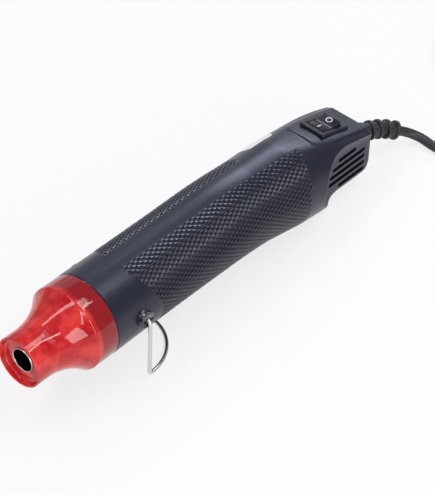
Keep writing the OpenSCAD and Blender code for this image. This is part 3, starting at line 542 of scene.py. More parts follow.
def cut_with(target, forms, operation="DIFFERENCE"):
    """Takes closed forms out of a piece, or joins them to it."""
    tool = mesh_piece("cutter", *gathered(forms))
    change = target.modifiers.new("cut", "BOOLEAN")
    change.operation = operation
    change.solver = "EXACT"
    change.object = tool
    with bpy.context.temp_override(object=target, active_object=target):
        bpy.ops.object.modifier_apply(modifier=change.name)
    bpy.data.objects.remove(tool)
    clean = bmesh.new()
    clean.from_mesh(target.data)
    bmesh.ops.remove_doubles(clean, verts=clean.verts[:], dist=0.000002)
    bmesh.ops.dissolve_degenerate(clean, edges=clean.edges[:], dist=0.000002)
    clean.to_mesh(target.data)
    clean.free()


vent_fronts = (25, 29, 31, 31.5, 24)
vent_h = 2.4
vent_pitch = 4.1
vent_end = 221.6
top_vent_short = 7


def vent_slot(side, row):
    """A slot with round ends through one side wall."""
    z = -row * vent_pitch
    r = vent_h / 2
    front = housing_end - vent_fronts[row] + r
    rear = vent_end - (top_vent_short if row == 0 else 0) - r
    ends = all_round(20)[:11]
    outline = [(-rear - r * math.sin(a), z - r * math.cos(a)) for a in ends]
    outline += [(-front + r * math.sin(a), z + r * math.cos(a)) for a in ends]
    return walled(outline[::-1], *sorted((side * 10.5, side * 24)))


switch_room = [(x, y, z) for z in (-5, 2) for x, y in ((-9.45, -6.5), (9.45, -6.5), (9.45, 6.5), (-9.45, 6.5))]


def on_deck(x, y, z):
    """A point of the switch deck's own frame, with X forward along the slope and Z out of the pad."""
    return (-deck_x + x * math.cos(deck_turn) - z * math.sin(deck_turn), y,
            deck_z + x * math.sin(deck_turn) + z * math.cos(deck_turn))


box_faces = [(3, 2, 1, 0), (4, 5, 6, 7), (0, 1, 5, 4), (1, 2, 6, 5), (2, 3, 7, 6), (3, 0, 4, 7)]
post_places = [(52, -16), (156, centre_height(156.0) + 9), (156, centre_height(156.0) - 16), (206, -14.7)]
screw_well = 2.6
cut_with(housing, [vent_slot(side, row) for side in (-1, 1) for row in range(5)]
         + [([on_deck(*p) for p in switch_room], box_faces)])
cut_with(housing, [cylinder_across(s, z, screw_well, -26, -9) for s, z in post_places])

# Each half is cut off at the seam, which shows as a hairline all round. The knurl's faces stay flat.
seam = 0.03
inside_skin = 20.4
housing_halves = []
for name, side in (("left_housing", 1), ("right_housing", -1)):
    half = bmesh.new()
    half.from_mesh(housing.data)
    cut = bmesh.ops.bisect_plane(half, geom=half.verts[:] + half.edges[:] + half.faces[:],
                                 plane_co=(0, side * seam / 1000, 0), plane_no=(0, side, 0), clear_inner=True)
    rim = [e for e in cut["geom_cut"] if isinstance(e, bmesh.types.BMEdge)]
    bmesh.ops.triangle_fill(half, use_beauty=False, use_dissolve=True, edges=rim)
    data = bpy.data.meshes.new(name)
    half.to_mesh(data)
    half.free()
    data.shade_smooth()
    data.set_sharp_from_angle(angle=math.radians(32))
    middles = np.zeros(len(data.polygons) * 3)
    data.polygons.foreach_get("center", middles)
    x, y, z = (middles.reshape(-1, 3) * 1000 - np.array([rest_shift, 0, rest_lift])).T
    s = -x * math.cos(tilt) - z * math.sin(tilt)
    z = z * math.cos(tilt) - x * math.sin(tilt) - centre_height(s)
    cut_flat = (knurl_panel(s, np.degrees(np.arctan2(y, z))) > 0.02) & (np.hypot(y, z) > inside_skin)
    data.polygons.foreach_set("use_smooth", ~cut_flat)
    housing_halves.append(into_scene(name, data))
bpy.data.objects.remove(housing)

# The finish is a fine spark texture all over and a little glossier on the knurl. Painted shade darkens the
# knurl's grooves in the colour.
housing_black, shader, place = finish_of("housing_black")
forward, leftward, upward = place.axes()
behind = 0 - forward
bent = (behind - bend_x).most(0).least(tail_x - bend_x)
centre_line = 0 - bent * bent / (2 * bend_radius) - (behind - tail_x).most(0) * math.tan(bend_turn)
degrees = leftward.maths("ARCTAN2", upward - centre_line) * (180 / math.pi)
rows, columns = behind / knurl_row, degrees * (knurl_turns / 360)
one_way = ((rows + columns) / 4).maths("PINGPONG", 0.5)
other_way = ((columns - rows) / 4).maths("PINGPONG", 0.5)
pyramids = one_way.least(other_way) * 2


def panel_mask(around, top, rear, lean):
    """1 in one knurled panel, with the degrees counted to its own side."""
    slant = (around - slant_from).most(0).least(slant_turns)
    across = (around - top).step(0, 2) * (panel_low - around).step(0, 2)
    front = (behind - panel_front - slant * front_slant).step(0, 0.8)
    return across * front * (rear - slant * lean - behind).step(0, 0.8)


left_panel = panel_mask(degrees, 13.5, panel_rear, rear_slant)
knurled = left_panel.most(panel_mask(0 - degrees, 15, panel_rear_right, 0))
spark = place.noise(2.6, 4, 0.6)
worn = place.noise(0.035, 2).step(0.3, 0.8)
# Painted shade: the base colour goes near black down the knurl's grooves, standing in for the shadow between
# its pyramids.
painted_groove_shade = knurled * (1 - pyramids * 1.6).most(0)
moulded = worn.mixed((0.009, 0.0095, 0.018), (0.0125, 0.013, 0.025))
surface(housing_black, shader, Base_Color=painted_groove_shade.mixed(moulded, (0.003, 0.003, 0.006)),
        Roughness=spark * 0.12 + 0.26 - knurled * 0.08, Normal=spark.bump(0.00003), Specular_IOR_Level=0.5,
        Specular_Tint=(0.8, 0.82, 1.0))
for half, node in zip(housing_halves, ("left_shell", "right_shell")):
    placed(half, "tool", "housing", housing_black, node)


def eased(outline, radius, steps=4):
    """A closed outline with its corners rounded off, at most by half of each side."""
    out = []
    for i, corner in enumerate(outline):
        here = Vector(corner)
        to_last, to_next = Vector(outline[i - 1]) - here, Vector(outline[(i + 1) % len(outline)]) - here
        reach = min(radius, to_last.length / 2.1, to_next.length / 2.1)
        if to_last.angle(to_next) > math.radians(164):
            out.append(tuple(here))
            continue
        first, last = here + to_last.normalized() * reach, here + to_next.normalized() * reach
        for k in range(steps + 1):
            t = k / steps
            out.append(tuple(first.lerp(here, t).lerp(here.lerp(last, t), t)))
    return out


def lofted(loops, closed=False):
    """Faces over loops of points that match, with both ends filled or the last loop led to the first."""
    n = len(loops[0])
    points = [p for loop in loops for p in loop]
    made = []
    for i in range(len(loops) if closed else len(loops) - 1):
        j = (i + 1) % len(loops)
        made += [(i * n + k, i * n + (k + 1) % n, j * n + (k + 1) % n, j * n + k) for k in range(n)]
    if not closed:
        made += [tuple(range(n - 1, -1, -1)), tuple(range(len(points) - n, len(points)))]
    return points, made


def turned(outline, put, steps=96, closed=True):
    """An outline of (along, radius) turned about a line; put gives (along, across, up) its place."""
    loops = [[put(along, r * math.sin(a), r * math.cos(a)) for a in all_round(steps)] for along, r in outline]
    return lofted(loops, closed)


def open_ends(outline, radius, steps=4):
    """An outline with eased corners that stops at the turning line, for a solid form with flat ends."""
    return [point for point in eased(outline + [(outline[-1][0], 0), (outline[0][0], 0)], radius, steps)
            if point[1] > 0.3]


def tool_line(along, across, up):
    """Along is behind the mouth on the tool's own axis."""
    return -along, across, up


# Two round bosses moulded on the housing's sides hold the stand. Each has a groove across its polished face
# where the wire turns down, and a hole for the wire's end.
stand_x = 56
stand_z = 0.7
wire_r = 1
boss_r = 4.3
boss_face = 23.5
boss_gloss, shader, place = finish_of("boss_gloss")
surface(boss_gloss, shader, Base_Color=place.noise(0.4).mixed((0.012, 0.012, 0.018), (0.02, 0.02, 0.027)),
        Roughness=place.noise(1.5, 3) * 0.14 + 0.12, Normal=place.noise(0.8, 2).bump(0.00004),
        Coat_Weight=0.4)
for name, side in (("left_boss", 1), ("right_boss", -1)):
    disc = [(18.5, boss_r + 0.5), (20.6, boss_r + 0.5), (21.2, boss_r), (boss_face, boss_r)]
    boss = mesh_piece(name, *turned(open_ends(disc, 0.5), lambda along, across, up: (
        -stand_x + side * across, side * along, stand_z + up), 64, closed=False))
    groove = [(-stand_x + x, side * y, stand_z + z) for z in (-1.15, 1.15) for x, y in (
        (-6, 22.7), (-6, 26), (6, 26), (6, 22.7))]
    cut_with(boss, [(groove if side < 0 else groove[4:] + groove[:4], box_faces)])
    cut_with(boss, [cylinder_across(stand_x, stand_z, wire_r + 0.05, side * 16, side * 27)])
    placed(boss, "tool", "housing", boss_gloss)

# A blank paper label with round corners sits high on the right of the grip, just behind the knurled panel.
# It is stuck on by hand, and only its upper edge shows from the left.
label_front = 161.5
label_len = 20.5
label_high = -29
label_low = -74
label_corner = 4
label_r = 22.4
label_middle = math.radians(label_high + label_low) / 2
label_half = math.radians(label_high - label_low) / 2 * label_r
label_loops = []
label_cuts = 32
for i in range(label_cuts + 1):
    s = label_front + label_len * i / label_cuts
    end = max(0, label_corner - min(s - label_front, label_front + label_len - s))
    half = label_half - label_corner + math.sqrt(label_corner ** 2 - end ** 2)
    around = label_middle + half / label_r * (2 * np.arange(label_cuts + 1) / label_cuts - 1)
    over, beneath = (skin_rings([s], around, inset)[0] for inset in (-0.09, 0.02))
    label_loops.append(list(over) + list(beneath[::-1]))
label_white = mottled("label_white", (0.74, 0.74, 0.73), (0.82, 0.82, 0.8), (1.1, 4), (0.1, 0.38), 0.00003)
placed(mesh_piece("blank_label", *lofted(label_loops)), "tool", "housing", label_white)

# The guard is turned from the mouth back: a clear red polycarbonate trumpet with a web that holds the nozzle,
# and a spigot that fixes it in the housing.
nozzle_r = 6.2
rim_r = 12.8
rim_proud = 2.6
trumpet_start = 5
trumpet_r = 32.9
guard_wall = 1.6
spigot_r = 19.39
shoulder_x = trumpet_start + math.sqrt(trumpet_r ** 2 - (trumpet_r - (collar_r - rim_r)) ** 2)


def trumpet(s, off):
    """Radius of the hollow curve between rim and collar, moved in by off."""
    return rim_r + trumpet_r - math.sqrt((trumpet_r + off) ** 2 - (s - trumpet_start) ** 2)


trumpet_rows = [trumpet_start + (shoulder_x - trumpet_start) * i / 24 for i in range(25)]
guard_outline = [(-rim_proud, 11.75), (-rim_proud, rim_r)]
guard_outline += [(s, trumpet(s, 0)) for s in trumpet_rows]
guard_outline += [
    (shoulder_x + 1.6, collar_r), (housing_front - 0.2, collar_r), (housing_front - 0.2, spigot_r),
    (housing_front + 6, spigot_r), (housing_front + 6, spigot_r - guard_wall),
    (housing_front - 3, spigot_r - guard_wall), (housing_front - 5, collar_r - 2.4)]
guard_outline += [(s, trumpet(s, guard_wall)) for s in reversed(trumpet_rows)]
guard_outline += [(2.0, rim_r - guard_wall), (2.0, nozzle_r + 0.05), (0.4, nozzle_r + 0.05),
                  (0.4, 10.3), (0.1, 11.1), (-0.6, 11.65)]
guard = mesh_piece("red_guard", *turned(eased(guard_outline, 0.45), tool_line, 128), sharp=30)
guard_red, shader, place = finish_of("guard_red")
swirl = place.noise(0.085, 3, 0.6).step(0.36, 0.66)
clouds = swirl.mixed((0.66, 0.004, 0.011), (1.0, 0.068, 0.058))
# Painted shade: the collar over the spigot is coloured a darker red, standing in for the dark parts behind it
# seen through the clear plastic.
painted_collar_shade = (0 - place.axes()[0]).step(shoulder_x + 1, shoulder_x + 3)
surface(guard_red, shader, Base_Color=painted_collar_shade.mixed(clouds, (0.42, 0.008, 0.015)),
        Roughness=place.noise(0.9, 2) * 0.04 + 0.02, Transmission_Weight=0.45, IOR=1.45,
        Normal=place.noise(0.08, 1).bump(0.0001), Coat_Weight=0.1, Coat_Roughness=0.04)
placed(guard, "tool", "guard", guard_red, "nozzle_guard")

# The metal tube is deep drawn from thin stainless sheet: a rolled bright lip at the mouth, the straight
# nozzle, a cone and the wide tube round the element. Heat has tinted it, and its bore is painted near black as
# shade.
nozzle_wall = 0.6
element_r = 13
nozzle_straight = 13
element_start = 29
element_end = 88
tube_outline = [
    (0.1, nozzle_r - nozzle_wall - 0.02), (-0.35, nozzle_r - 0.3), (0.1, nozzle_r + 0.02),
    (nozzle_straight, nozzle_r), (element_start, element_r), (element_end, element_r),
    (element_end, element_r - nozzle_wall), (element_start + 0.3, element_r - nozzle_wall),
    (nozzle_straight + 0.3, nozzle_r - nozzle_wall)]
tube = mesh_piece("metal_tube", *turned(eased(tube_outline, 0.6), tool_line))
nozzle_steel, shader, place = finish_of("nozzle_steel")
forward, leftward, upward = place.axes()
heat = (forward + 34).step(0, 30) + place.noise(0.09, 3) * 0.25 - 0.12
lengthwise = place.node("ShaderNodeMapping", {"vector_type": "POINT"}, {"Vector": place, "Scale": (0.4, 5, 5)})
drawn = lengthwise.noise(1, 3)
tint_stops = [(0.0, (0.62, 0.62, 0.63)), (0.35, (0.64, 0.6, 0.5)), (0.62, (0.55, 0.42, 0.28)),
              (0.8, (0.42, 0.4, 0.46)), (1.0, (0.86, 0.86, 0.87))]
tinted = heat.node("ShaderNodeValToRGB", {"stops": tint_stops}, {"Fac": heat})
# Painted shade: inside the bore the base colour is near black, standing in for the shade deep in the narrow
# tube.
outside_painted_bore_shade = (leftward * leftward + upward * upward).maths("SQRT").step(nozzle_r - 0.58, nozzle_r - 0.4)
surface(nozzle_steel, shader, Base_Color=outside_painted_bore_shade.mixed((0.07, 0.065, 0.07), tinted), Metallic=1.0,
        Roughness=drawn * 0.16 + 0.2, Normal=drawn.bump(0.00002))
placed(tube, "tool", "nozzle_steel", nozzle_steel, "nozzle_tube")


# Inside the tube, two crossed mica cards carry the wound heating wire in a mica sleeve, on a ceramic base,
# with a small thermal cutout beside them. Nothing here is seen but a dim gleam through the mouth.
def finish_nodes(nodes, name, low, high, rough, metal=0.0, scale=0.8, **more):
    """One mottled material on CAD nodes whose own shape stays."""
    made = mottled(name, low, high, (scale, 4, 0.6), (0.2, rough - 0.1), 0.00005, Metallic=metal, **more)
    for node in nodes:
        dressed(bpy.data.objects[node], made)
    return made


finish_nodes(["mica_sleeve", "mica_card_upright", "mica_card_flat"], "mica",
             (0.5, 0.42, 0.27), (0.72, 0.66, 0.5), 0.35, scale=0.5, Coat_Weight=0.3)
finish_nodes(["element_base"], "ceramic", (0.62, 0.6, 0.55), (0.74, 0.72, 0.67), 0.7, scale=1.2)
finish_nodes(["heating_coil"], "resistance_wire", (0.2, 0.17, 0.15), (0.38, 0.34, 0.31), 0.5, 1.0, scale=2)
finish_nodes(["thermal_cutout"], "cutout_tin", (0.55, 0.55, 0.52), (0.66, 0.66, 0.63), 0.35, 1.0)

# Behind the element: the duct and the motor's mount are moulded in dark nylon, and the fan in a stiffer grey
# grade. They drop into ribs of the housing before the halves close.
finish_nodes(["air_duct", "motor_mount"], "dark_nylon",
             (0.02, 0.02, 0.022), (0.04, 0.04, 0.043), 0.5, scale=1.6)
finish_nodes(["fan_wheel"], "fan_nylon", (0.045, 0.046, 0.05), (0.075, 0.076, 0.08), 0.45, scale=1.4)

# The motor is a small permanent magnet one: a drawn and plated steel case, a white end cap, a ground shaft and
# two screws. The board on its tabs carries four diodes.
finish_nodes(["motor_case"], "motor_plate", (0.52, 0.52, 0.53), (0.64, 0.64, 0.64), 0.3, 1.0, scale=0.5)
finish_nodes(["motor_shaft"], "ground_steel", (0.6, 0.6, 0.61), (0.7, 0.7, 0.71), 0.22, 1.0, scale=3)
finish_nodes(["motor_end_cap"], "cap_nylon", (0.66, 0.66, 0.61), (0.76, 0.76, 0.71), 0.5, scale=1.2)
screw_zinc = finish_nodes(
    ["motor_screws", "clamp_screws"], "screw_zinc", (0.55, 0.55, 0.52), (0.7, 0.7, 0.68), 0.3, 1.0, scale=1.5)
finish_nodes(["rectifier_board"], "board_green",
             (0.03, 0.12, 0.04), (0.06, 0.19, 0.07), 0.4, scale=0.9, Coat_Weight=0.5)
finish_nodes(["diodes"], "diode_epoxy", (0.012, 0.012, 0.012), (0.028, 0.028, 0.028), 0.4, scale=2)

# The leads are silicone covered, red to the element and brown from the cord. The terminals are pressed brass,
# and the clamp over the cord's tail is moulded nylon.
finish_nodes(["heater_leads"], "lead_red", (0.42, 0.015, 0.012), (0.58, 0.03, 0.022), 0.5, scale=1.4)
finish_nodes(["mains_leads"], "lead_brown", (0.1, 0.045, 0.02), (0.16, 0.08, 0.04), 0.45, scale=1.4)
finish_nodes(["switch_terminals"], "terminal_brass", (0.62, 0.48, 0.22), (0.76, 0.62, 0.32), 0.35, 1.0, 1)
finish_nodes(["cord_clamp"], "clamp_nylon", (0.06, 0.06, 0.06), (0.1, 0.1, 0.1), 0.5, scale=1.2)
dressed(bpy.data.objects["cord_tail"], cord_black)

# The case screws are zinc plated pan heads with a cross recess, driven in from the right down deep wells.
screw_seat = -7
screw_form = [(13.2, 0.5), (12.5, 1.1), (0.02, 1.1), (0.02, 2.4), (-1.1, 2.4), (-1.55, 2.1), (-1.8, 1.5)]
case_screws = mesh_piece("cross_head_screws", *gathered([turned(
    open_ends(screw_form, 0.15, 2), lambda along, across, up: (-s + across, screw_seat + along, z + up), 32,
    closed=False) for s, z in post_places]))
for long, high in ((1.5, 0.28), (0.28, 1.5)):
    corners = [(-long, -high), (long, -high), (long, high), (-long, high)]
    cut_with(case_screws, [lofted([[(-s + a * share, y, z + b * share) for a, b in corners]
                                   for y, share in ((-9.2, 1), (-7.9, 0.55))]) for s, z in post_places])
placed(case_screws, "tool", "screw_steel", screw_zinc, "case_screws")

# The rocker switch snaps into the deck: a glossy black nylon case with a raised bezel round the rocker.
bezel_l = 21
bezel_w = 15
bezel_h = 1.4
rocker_r = 7.4
rocker_w = 10
rocker_axis = bezel_h - 2.6


def rounded_room(l, w, r, z, per_corner=5):
    """A rectangle with round corners, at a height in the deck's frame."""
    out = []
    for turn, (cx, cy) in enumerate(((1, 1), (-1, 1), (-1, -1), (1, -1))):
        for k in range(per_corner + 1):
            a = math.pi / 2 * (turn + k / per_corner)
            out.append(on_deck(cx * (l / 2 - r) + r * math.cos(a), cy * (w / 2 - r) + r * math.sin(a), z))
    return out


slot_l = 2 * rocker_r + 0.3
slot_w = rocker_w + 0.4
body_l = 18.8
body_w = 12.9
case_rows = [
    (body_l - 0.6, body_w - 0.6, 0.6, -11), (body_l, body_w, 0.6, -10.6), (body_l, body_w, 0.6, 0.02),
    (bezel_l, bezel_w, 0.9, 0.02), (bezel_l, bezel_w, 0.9, 0.85), (bezel_l - 0.2, bezel_w - 0.2, 0.8, 1.15),
    (bezel_l - 0.6, bezel_w - 0.6, 0.7, 1.34), (bezel_l - 1.2, bezel_w - 1.2, 0.6, bezel_h),
    (slot_l + 0.7, slot_w + 0.7, 0.5, bezel_h), (slot_l + 0.2, slot_w + 0.2, 0.4, 1.28),
    (slot_l, slot_w, 0.3, 1.0), (slot_l, slot_w, 0.3, -9.8)]
case = mesh_piece("switch_bezel", *lofted([rounded_room(*row) for row in case_rows]), sharp=40)
switch_gloss = mottled("switch_gloss", (0.009, 0.009, 0.014), (0.015, 0.015, 0.021), (1.4, 3), (0.1, 0.26),
                       0.00003, Specular_IOR_Level=0.3)
placed(case, "tool", "switch_black", switch_gloss, "switch_case")


# The rocker is a separate glossy moulding that tilts on pins. White marks are printed on it: a ring on the
# rear half for off and a bar on the front half for on.
rocker_turn = math.radians(10)


def on_rocker(x, y, z):
    """A point of the rocker's own frame, where its two faces rise alike to both ends."""
    turned_x = x * math.cos(rocker_turn) + z * math.sin(rocker_turn)
    return on_deck(turned_x, y, rocker_axis - x * math.sin(rocker_turn) + z * math.cos(rocker_turn))


face_rise = math.tan(rocker_turn)
face_low = 2.7 / math.cos(rocker_turn)
foot_x = math.sqrt(rocker_r ** 2 - 4.2 ** 2)
arc_from, arc_to = math.atan2(-4.2, foot_x), math.asin((face_low + 6.3 * face_rise) / rocker_r)
rocker_side = [(rocker_r * math.cos(a), rocker_r * math.sin(a))
               for a in (arc_from + (arc_to - arc_from) * k / 12 for k in range(13))]
rocker_side += [(x, face_low + x * face_rise) for x in (5, 3.4, 2, 1, 0.35)] + [(0, face_low + 0.03)]
rocker_side += [(-x, z) for x, z in rocker_side[-2::-1]]
rocker_loops = [
    [on_rocker(x * (1 - inset / 7), y, z - inset * (1 if z > 0 else -0.5)) for x, z in rocker_side]
    for y, inset in ((-5, 0.35), (-4.9, 0.12), (-4.7, 0), (4.7, 0), (4.9, 0.12), (5, 0.35))]
rocker = mesh_piece("rocker", *lofted(rocker_loops), sharp=28)
rocker_gloss, shader, place = finish_of("rocker_gloss")
handled = place.noise(0.9, 3)
surface(rocker_gloss, shader, Base_Color=handled.mixed((0.01, 0.01, 0.016), (0.018, 0.018, 0.025)),
        Roughness=handled * 0.1 + 0.12, Normal=place.noise(0.5, 2).bump(0.00004), Specular_IOR_Level=0.3)
placed(rocker, "rocker", "switch_black", rocker_gloss, "switch_rocker")
mark_white, shader, place = finish_of("mark_white")
inked = place.noise(3, 3)
surface(mark_white, shader, Base_Color=inked.mixed((0.78, 0.78, 0.76), (0.86, 0.86, 0.85)),
        Roughness=inked * 0.15 + 0.4)


def on_face(x, y, lift):
    """A point on the rocker's slanting faces, x ahead of the valley."""
    return on_rocker(x, y, face_low + abs(x) * face_rise + lift)


mark_low = -0.05
mark_high = 0.03
ring_x = -3.9
ring_loops = [[on_face(ring_x + r * math.cos(a), r * math.sin(a), lift) for a in all_round(40)]
              for r, lift in ((1.3, mark_low), (1.3, mark_high), (1.68, mark_high), (1.68, mark_low))]
placed(mesh_piece("off_mark", *lofted(ring_loops, closed=True)), "rocker", "switch_black", mark_white)
bar_outline = eased([(2.0, -0.25), (5.2, -0.25), (5.2, 0.25), (2.0, 0.25)], 0.2, 3)
bar_loops = [[on_face(x, y, lift) for x, y in bar_outline] for lift in (mark_low, mark_high)]
placed(mesh_piece("on_mark", *lofted(bar_loops)), "rocker", "switch_black", mark_white)

# The stand is one length of bright 2 mm spring wire: a pin in each boss, a leg on each side and a half round
# foot bent to lie level on the table.
leg_len = 32.8
wire_bend = 1.8
stand_half = 24.8
foot_turn = math.pi / 2 + tilt
foot_tangent = wire_bend * math.tan(foot_turn / 2)
half_way = [(0, y, 0) for y in (16.5, 20, stand_half - wire_bend)]
half_way += [(0, stand_half - wire_bend * (1 - math.sin(a)), -wire_bend * (1 - math.cos(a)))
             for a in all_round(32)[1:9]]
half_way += [(0, stand_half, -leg_len * share) for share in (0.25, 0.5, 0.75)]
half_way += [(-wire_bend * (1 - math.cos(a)), stand_half, -leg_len + foot_tangent - wire_bend * math.sin(a))
             for a in (foot_turn * k / 8 for k in range(9))]
foot = [(-foot_tangent - stand_half * math.sin(a), stand_half * math.cos(a)) for a in all_round(96)[1:48]]
stand_way = half_way + [(x * math.cos(tilt), y, -leg_len - x * math.sin(tilt)) for x, y in foot]
stand_way += [(x, -y, z) for x, y, z in reversed(half_way)]


def wire_along(name, route, radius, sides=24):
    """A closed tube of a radius along a route in the tool's own frame."""
    loops = []
    side = Vector((1, 0, 0))
    points = [Vector(p) for p in route]
    for i, point in enumerate(points):
        way = (points[min(i + 1, len(points) - 1)] - points[max(i - 1, 0)]).normalized()
        side = (side - way * side.dot(way)).normalized()
        third = way.cross(side)
        loops.append([point + radius * (math.cos(a) * side + math.sin(a) * third) for a in all_round(sides)])
    return mesh_piece(name, *lofted(loops), sharp=50)


stand = wire_along("bent_wire_stand", [(-stand_x + x, y, stand_z + z) for x, y, z in stand_way], wire_r)
stand_bright = mottled("stand_bright", (0.6, 0.6, 0.61), (0.72, 0.72, 0.73), (0.7, 4, 0.65), (0.14, 0.13),
                       0.00002, Metallic=1.0)
placed(stand, "stand", "stand_wire", stand_bright, "wire_stand")


# The strain relief is one soft PVC moulding on the cord: a flange behind the housing's rear wall, then six
# ribs joined by webs that change sides, so that it bends both ways.
rib_pitch = relief_len / relief_ribs


def relief_place(d):
    """Middle and heading of the strain relief, d millimetres from the housing's rear face."""
    if d < 0:
        return relief_joints[0] + Vector((-d, 0, 0)), Vector((-1, 0, 0))
    i = min(int(d / rib_pitch), relief_ribs - 1)
    return relief_joints[i].lerp(relief_joints[i + 1], d / rib_pitch - i), relief_dir(d / relief_len)


relief_rows = [(-3.5, 3.0, 3.0), (-3.5, 4.9, 4.9), (-2.0, 4.9, 4.9), (-2.0, 4.1, 4.1), (-0.1, 4.1, 4.1)]
for i in range(relief_ribs):
    rib = 5.2 - 0.05 * i
    low = 3.7 - 0.05 * i
    wide, narrow = (rib - 0.8, low) if i % 2 else (low, rib - 0.8)
    start = i * rib_pitch
    relief_rows += [(start + 0.05, *((4.4, 4.4) if i == 0 else (wide, narrow)))]
    relief_rows += [(start + d, wide, narrow) for d in (0.35, 3.35)]
    relief_rows += [(start + d, r, r) for d, r in (
        (3.5, rib - 0.12), (3.65, rib), (rib_pitch - 0.3, rib), (rib_pitch - 0.12, rib - 0.12))]
relief_rows += [(relief_len + 0.2, 3.5, 3.5), (relief_len + 0.4, 3.0, 3.0)]
relief_loops = []
for d, wide, narrow in relief_rows:
    middle, way = relief_place(min(d, relief_len - 0.01))
    middle = middle + way * max(0, d - relief_len + 0.01)
    side = way.cross(Vector((0, 0, 1))).normalized()
    over = side.cross(way)
    ring = []
    for a in all_round(64):
        share = min(1, max(0, (abs(math.cos(a)) - 0.45) / 0.25))
        r = wide * share + narrow * (1 - share)
        ring.append(middle + r * (math.cos(a) * side + math.sin(a) * over))
    relief_loops.append(ring)
strain_relief = mesh_piece("ribbed_relief", *lofted(relief_loops), sharp=40)
relief_rubber = mottled("relief_rubber", (0.014, 0.014, 0.016), (0.026, 0.026, 0.029), (1.8, 4), (0.14, 0.4),
                        0.00006)
placed(strain_relief, "tool", "cord_black", relief_rubber, "strain_relief")

# The plug is moulded on the cord's far end: a ringed neck that swells to a flat body with finger grooves,
# and two folded brass blades.
plug_way = -coil_out_way
plug_root = cord_route[-1]
plug_side = Vector((-plug_way.y, plug_way.x, 0))
neck_rows = ((0, 2.7), (0.3, 3.4), (2.6, 3.7), (2.9, 4.3), (3.2, 4.6), (4.4, 4.6), (4.7, 4.3), (4.9, 3.8),
             (6.1, 3.9), (6.4, 4.4), (6.7, 4.6), (7.9, 4.6), (8.2, 4.4), (8.4, 4.0), (9.6, 4.1), (9.9, 4.4),
             (10.2, 4.6))
plug_rows = [(d, r, r, 2) for d, r in neck_rows]
plug_rows += [(11.6, 4.6, 4.6, 2.1), (13, 5.0, 4.8, 2.3), (15, 6.2, 5.4, 2.6), (17.5, 8.2, 6.3, 3.0),
              (20, 9.9, 7.1, 3.4), (22, 10.7, 7.6, 3.8), (23.6, 11, 7.9, 4)]
for start in (24.2, 26.8, 29.4, 32.0):
    plug_rows += [(start + d, half_w, 7.9, 4) for d, half_w in ((0, 11), (0.5, 10.7), (1.3, 10.7), (1.8, 11))]
plug_rows += [(36.4, 11, 7.9, 4), (37.3, 10.7, 7.6, 4), (37.8, 10.2, 7.1, 4), (38, 9.4, 6.4, 4)]
plug_loops = []
for d, half_w, half_h, power in plug_rows:
    ring = []
    for a in all_round(72):
        c, n = math.cos(a), math.sin(a)
        across = half_w * math.copysign(abs(c) ** (2 / power), c)
        up = half_h * math.copysign(abs(n) ** (2 / power), n)
        ring.append(plug_root + plug_way * d + plug_side * across + Vector((0, 0, up)))
    plug_loops.append(ring)
plug = mesh_piece("moulded_plug", *lofted(plug_loops), sharp=45, put=lambda x, y, z: Vector((x, y, z)) / 1000)
placed(plug, "tool", "cord_black", relief_rubber, "plug_body")
finish_nodes(["plug_blades"], "plug_brass", (0.62, 0.55, 0.38), (0.74, 0.68, 0.5), 0.3, 1.0, scale=0.6)
tuple(on_table(*relief_end))

# The studio: a white floor under the tool, four long soft strip lamps over it that draw the lines of light on
# the grip and the guard, and five boxes. The floor looks white to the camera and keeps a faint shadow.
floor_half = 3
floor_z = -0.0002
sweep = bpy.data.meshes.new("studio_floor")
sweep.from_pydata([(x * floor_half, y * floor_half, floor_z) for x, y in ((-1, -1), (1, -1), (1, 1), (-1, 1))],
                  [], [(0, 1, 2, 3)])
studio_floor = into_scene("studio_floor", sweep)
stage_white, lit, place = finish_of("stage_white")
surface(stage_white, lit, Base_Color=(0.8, 0.8, 0.8), Roughness=0.9, Specular_IOR_Level=0)
tree = stage_white.node_tree
path = tree.nodes.new("ShaderNodeLightPath").outputs
seen = Wire(tree, path["Is Camera Ray"]).most(Wire(tree, path["Is Glossy Ray"])).most(
    Wire(tree, path["Is Transmission Ray"]))
glow = seen.node("ShaderNodeEmission", None, {"Strength": 1})
share = seen * 0.75
shown = share.node("ShaderNodeMixShader", None, {"Fac": share, 1: Wire(tree, lit.outputs[0]), 2: glow})
tree.links.new(shown.socket, tree.nodes["Material Output"].inputs["Surface"])
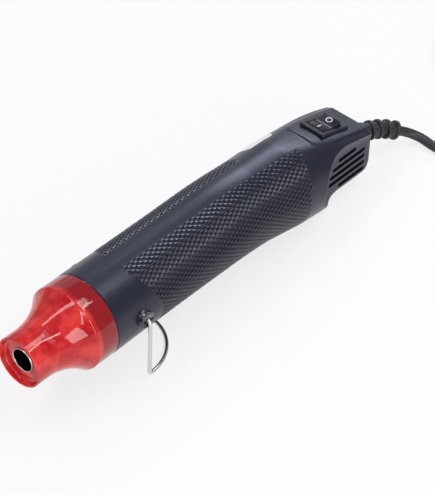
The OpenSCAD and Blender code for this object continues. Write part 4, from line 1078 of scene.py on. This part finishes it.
sweep.materials.append(stage_white)


def lamp(name, place, aim, along, size, watts, colour=(1, 1, 1)):
    """A soft rectangular lamp at a place, facing aim, with its long side along a direction."""
    light = bpy.data.lights.new(name, "AREA")
    light.shape = "RECTANGLE"
    light.size, light.size_y = size
    light.energy = watts
    light.color = colour
    back = (Vector(place) - Vector(aim)).normalized()
    side = (Vector(along) - back * back.dot(Vector(along))).normalized()
    turn = Matrix((side, back.cross(side), back)).transposed()
    into_scene(name, light).matrix_world = Matrix.Translation(place) @ turn.to_4x4()


cool = (0.82, 0.87, 1.0)
lamp("strip_high", (0.42, -0.31, 1.0), (0, 0, 0.03), (1.25, 0.32, 0), (1.3, 0.13), 3.3, (0.92, 0.94, 1.0))
lamp("strip_near", (-0.23, 0.5, 1.0), (0, 0, 0.03), (0.82, 0.4, 0), (0.95, 0.11), 2.8)
lamp("strip_across", (-0.2, 0.4, 1.02), (-0.03, 0, 0.04), (0, 1, 0), (1.2, 0.2), 1.1)
lamp("strip_front", (1.15, 0.25, 1.0), (0.08, 0, 0.05), (0.35, 1.65, 0), (1.6, 0.06), 2.4)
lamp("front_box", (-0.4, 0.12, 1.0), (0.08, 0, 0.05), (1, 0, 0), (0.36, 0.28), 1.3)
lamp("deck_box", (-1.2, -0.65, 0.82), (-0.09, 0, 0.05), (0.5, -0.85, 0), (0.6, 0.4), 6, cool)
lamp("side_box", (0.47, 0.92, 0.38), (0.09, 0, 0.03), (0.9, -0.45, 0), (0.46, 0.62), 4.8)
lamp("far_box", (-0.9, -1.15, 0.55), (0, 0, 0), (0.78, -0.6, 0), (1.6, 0.8), 1.5, cool)
lamp("top_box", (0, 0, 1.6), (0, 0, 0), (1, 0, 0), (1.5, 1.5), 1)
world = bpy.data.worlds.new("studio")
bpy.context.scene.world = world
world.use_nodes = True
sky = world.node_tree.nodes["Background"].inputs
sky["Color"].default_value = (0.93, 0.95, 1.0, 1)
sky["Strength"].default_value = 0.34
bpy.context.scene.view_settings.view_transform = "Standard"
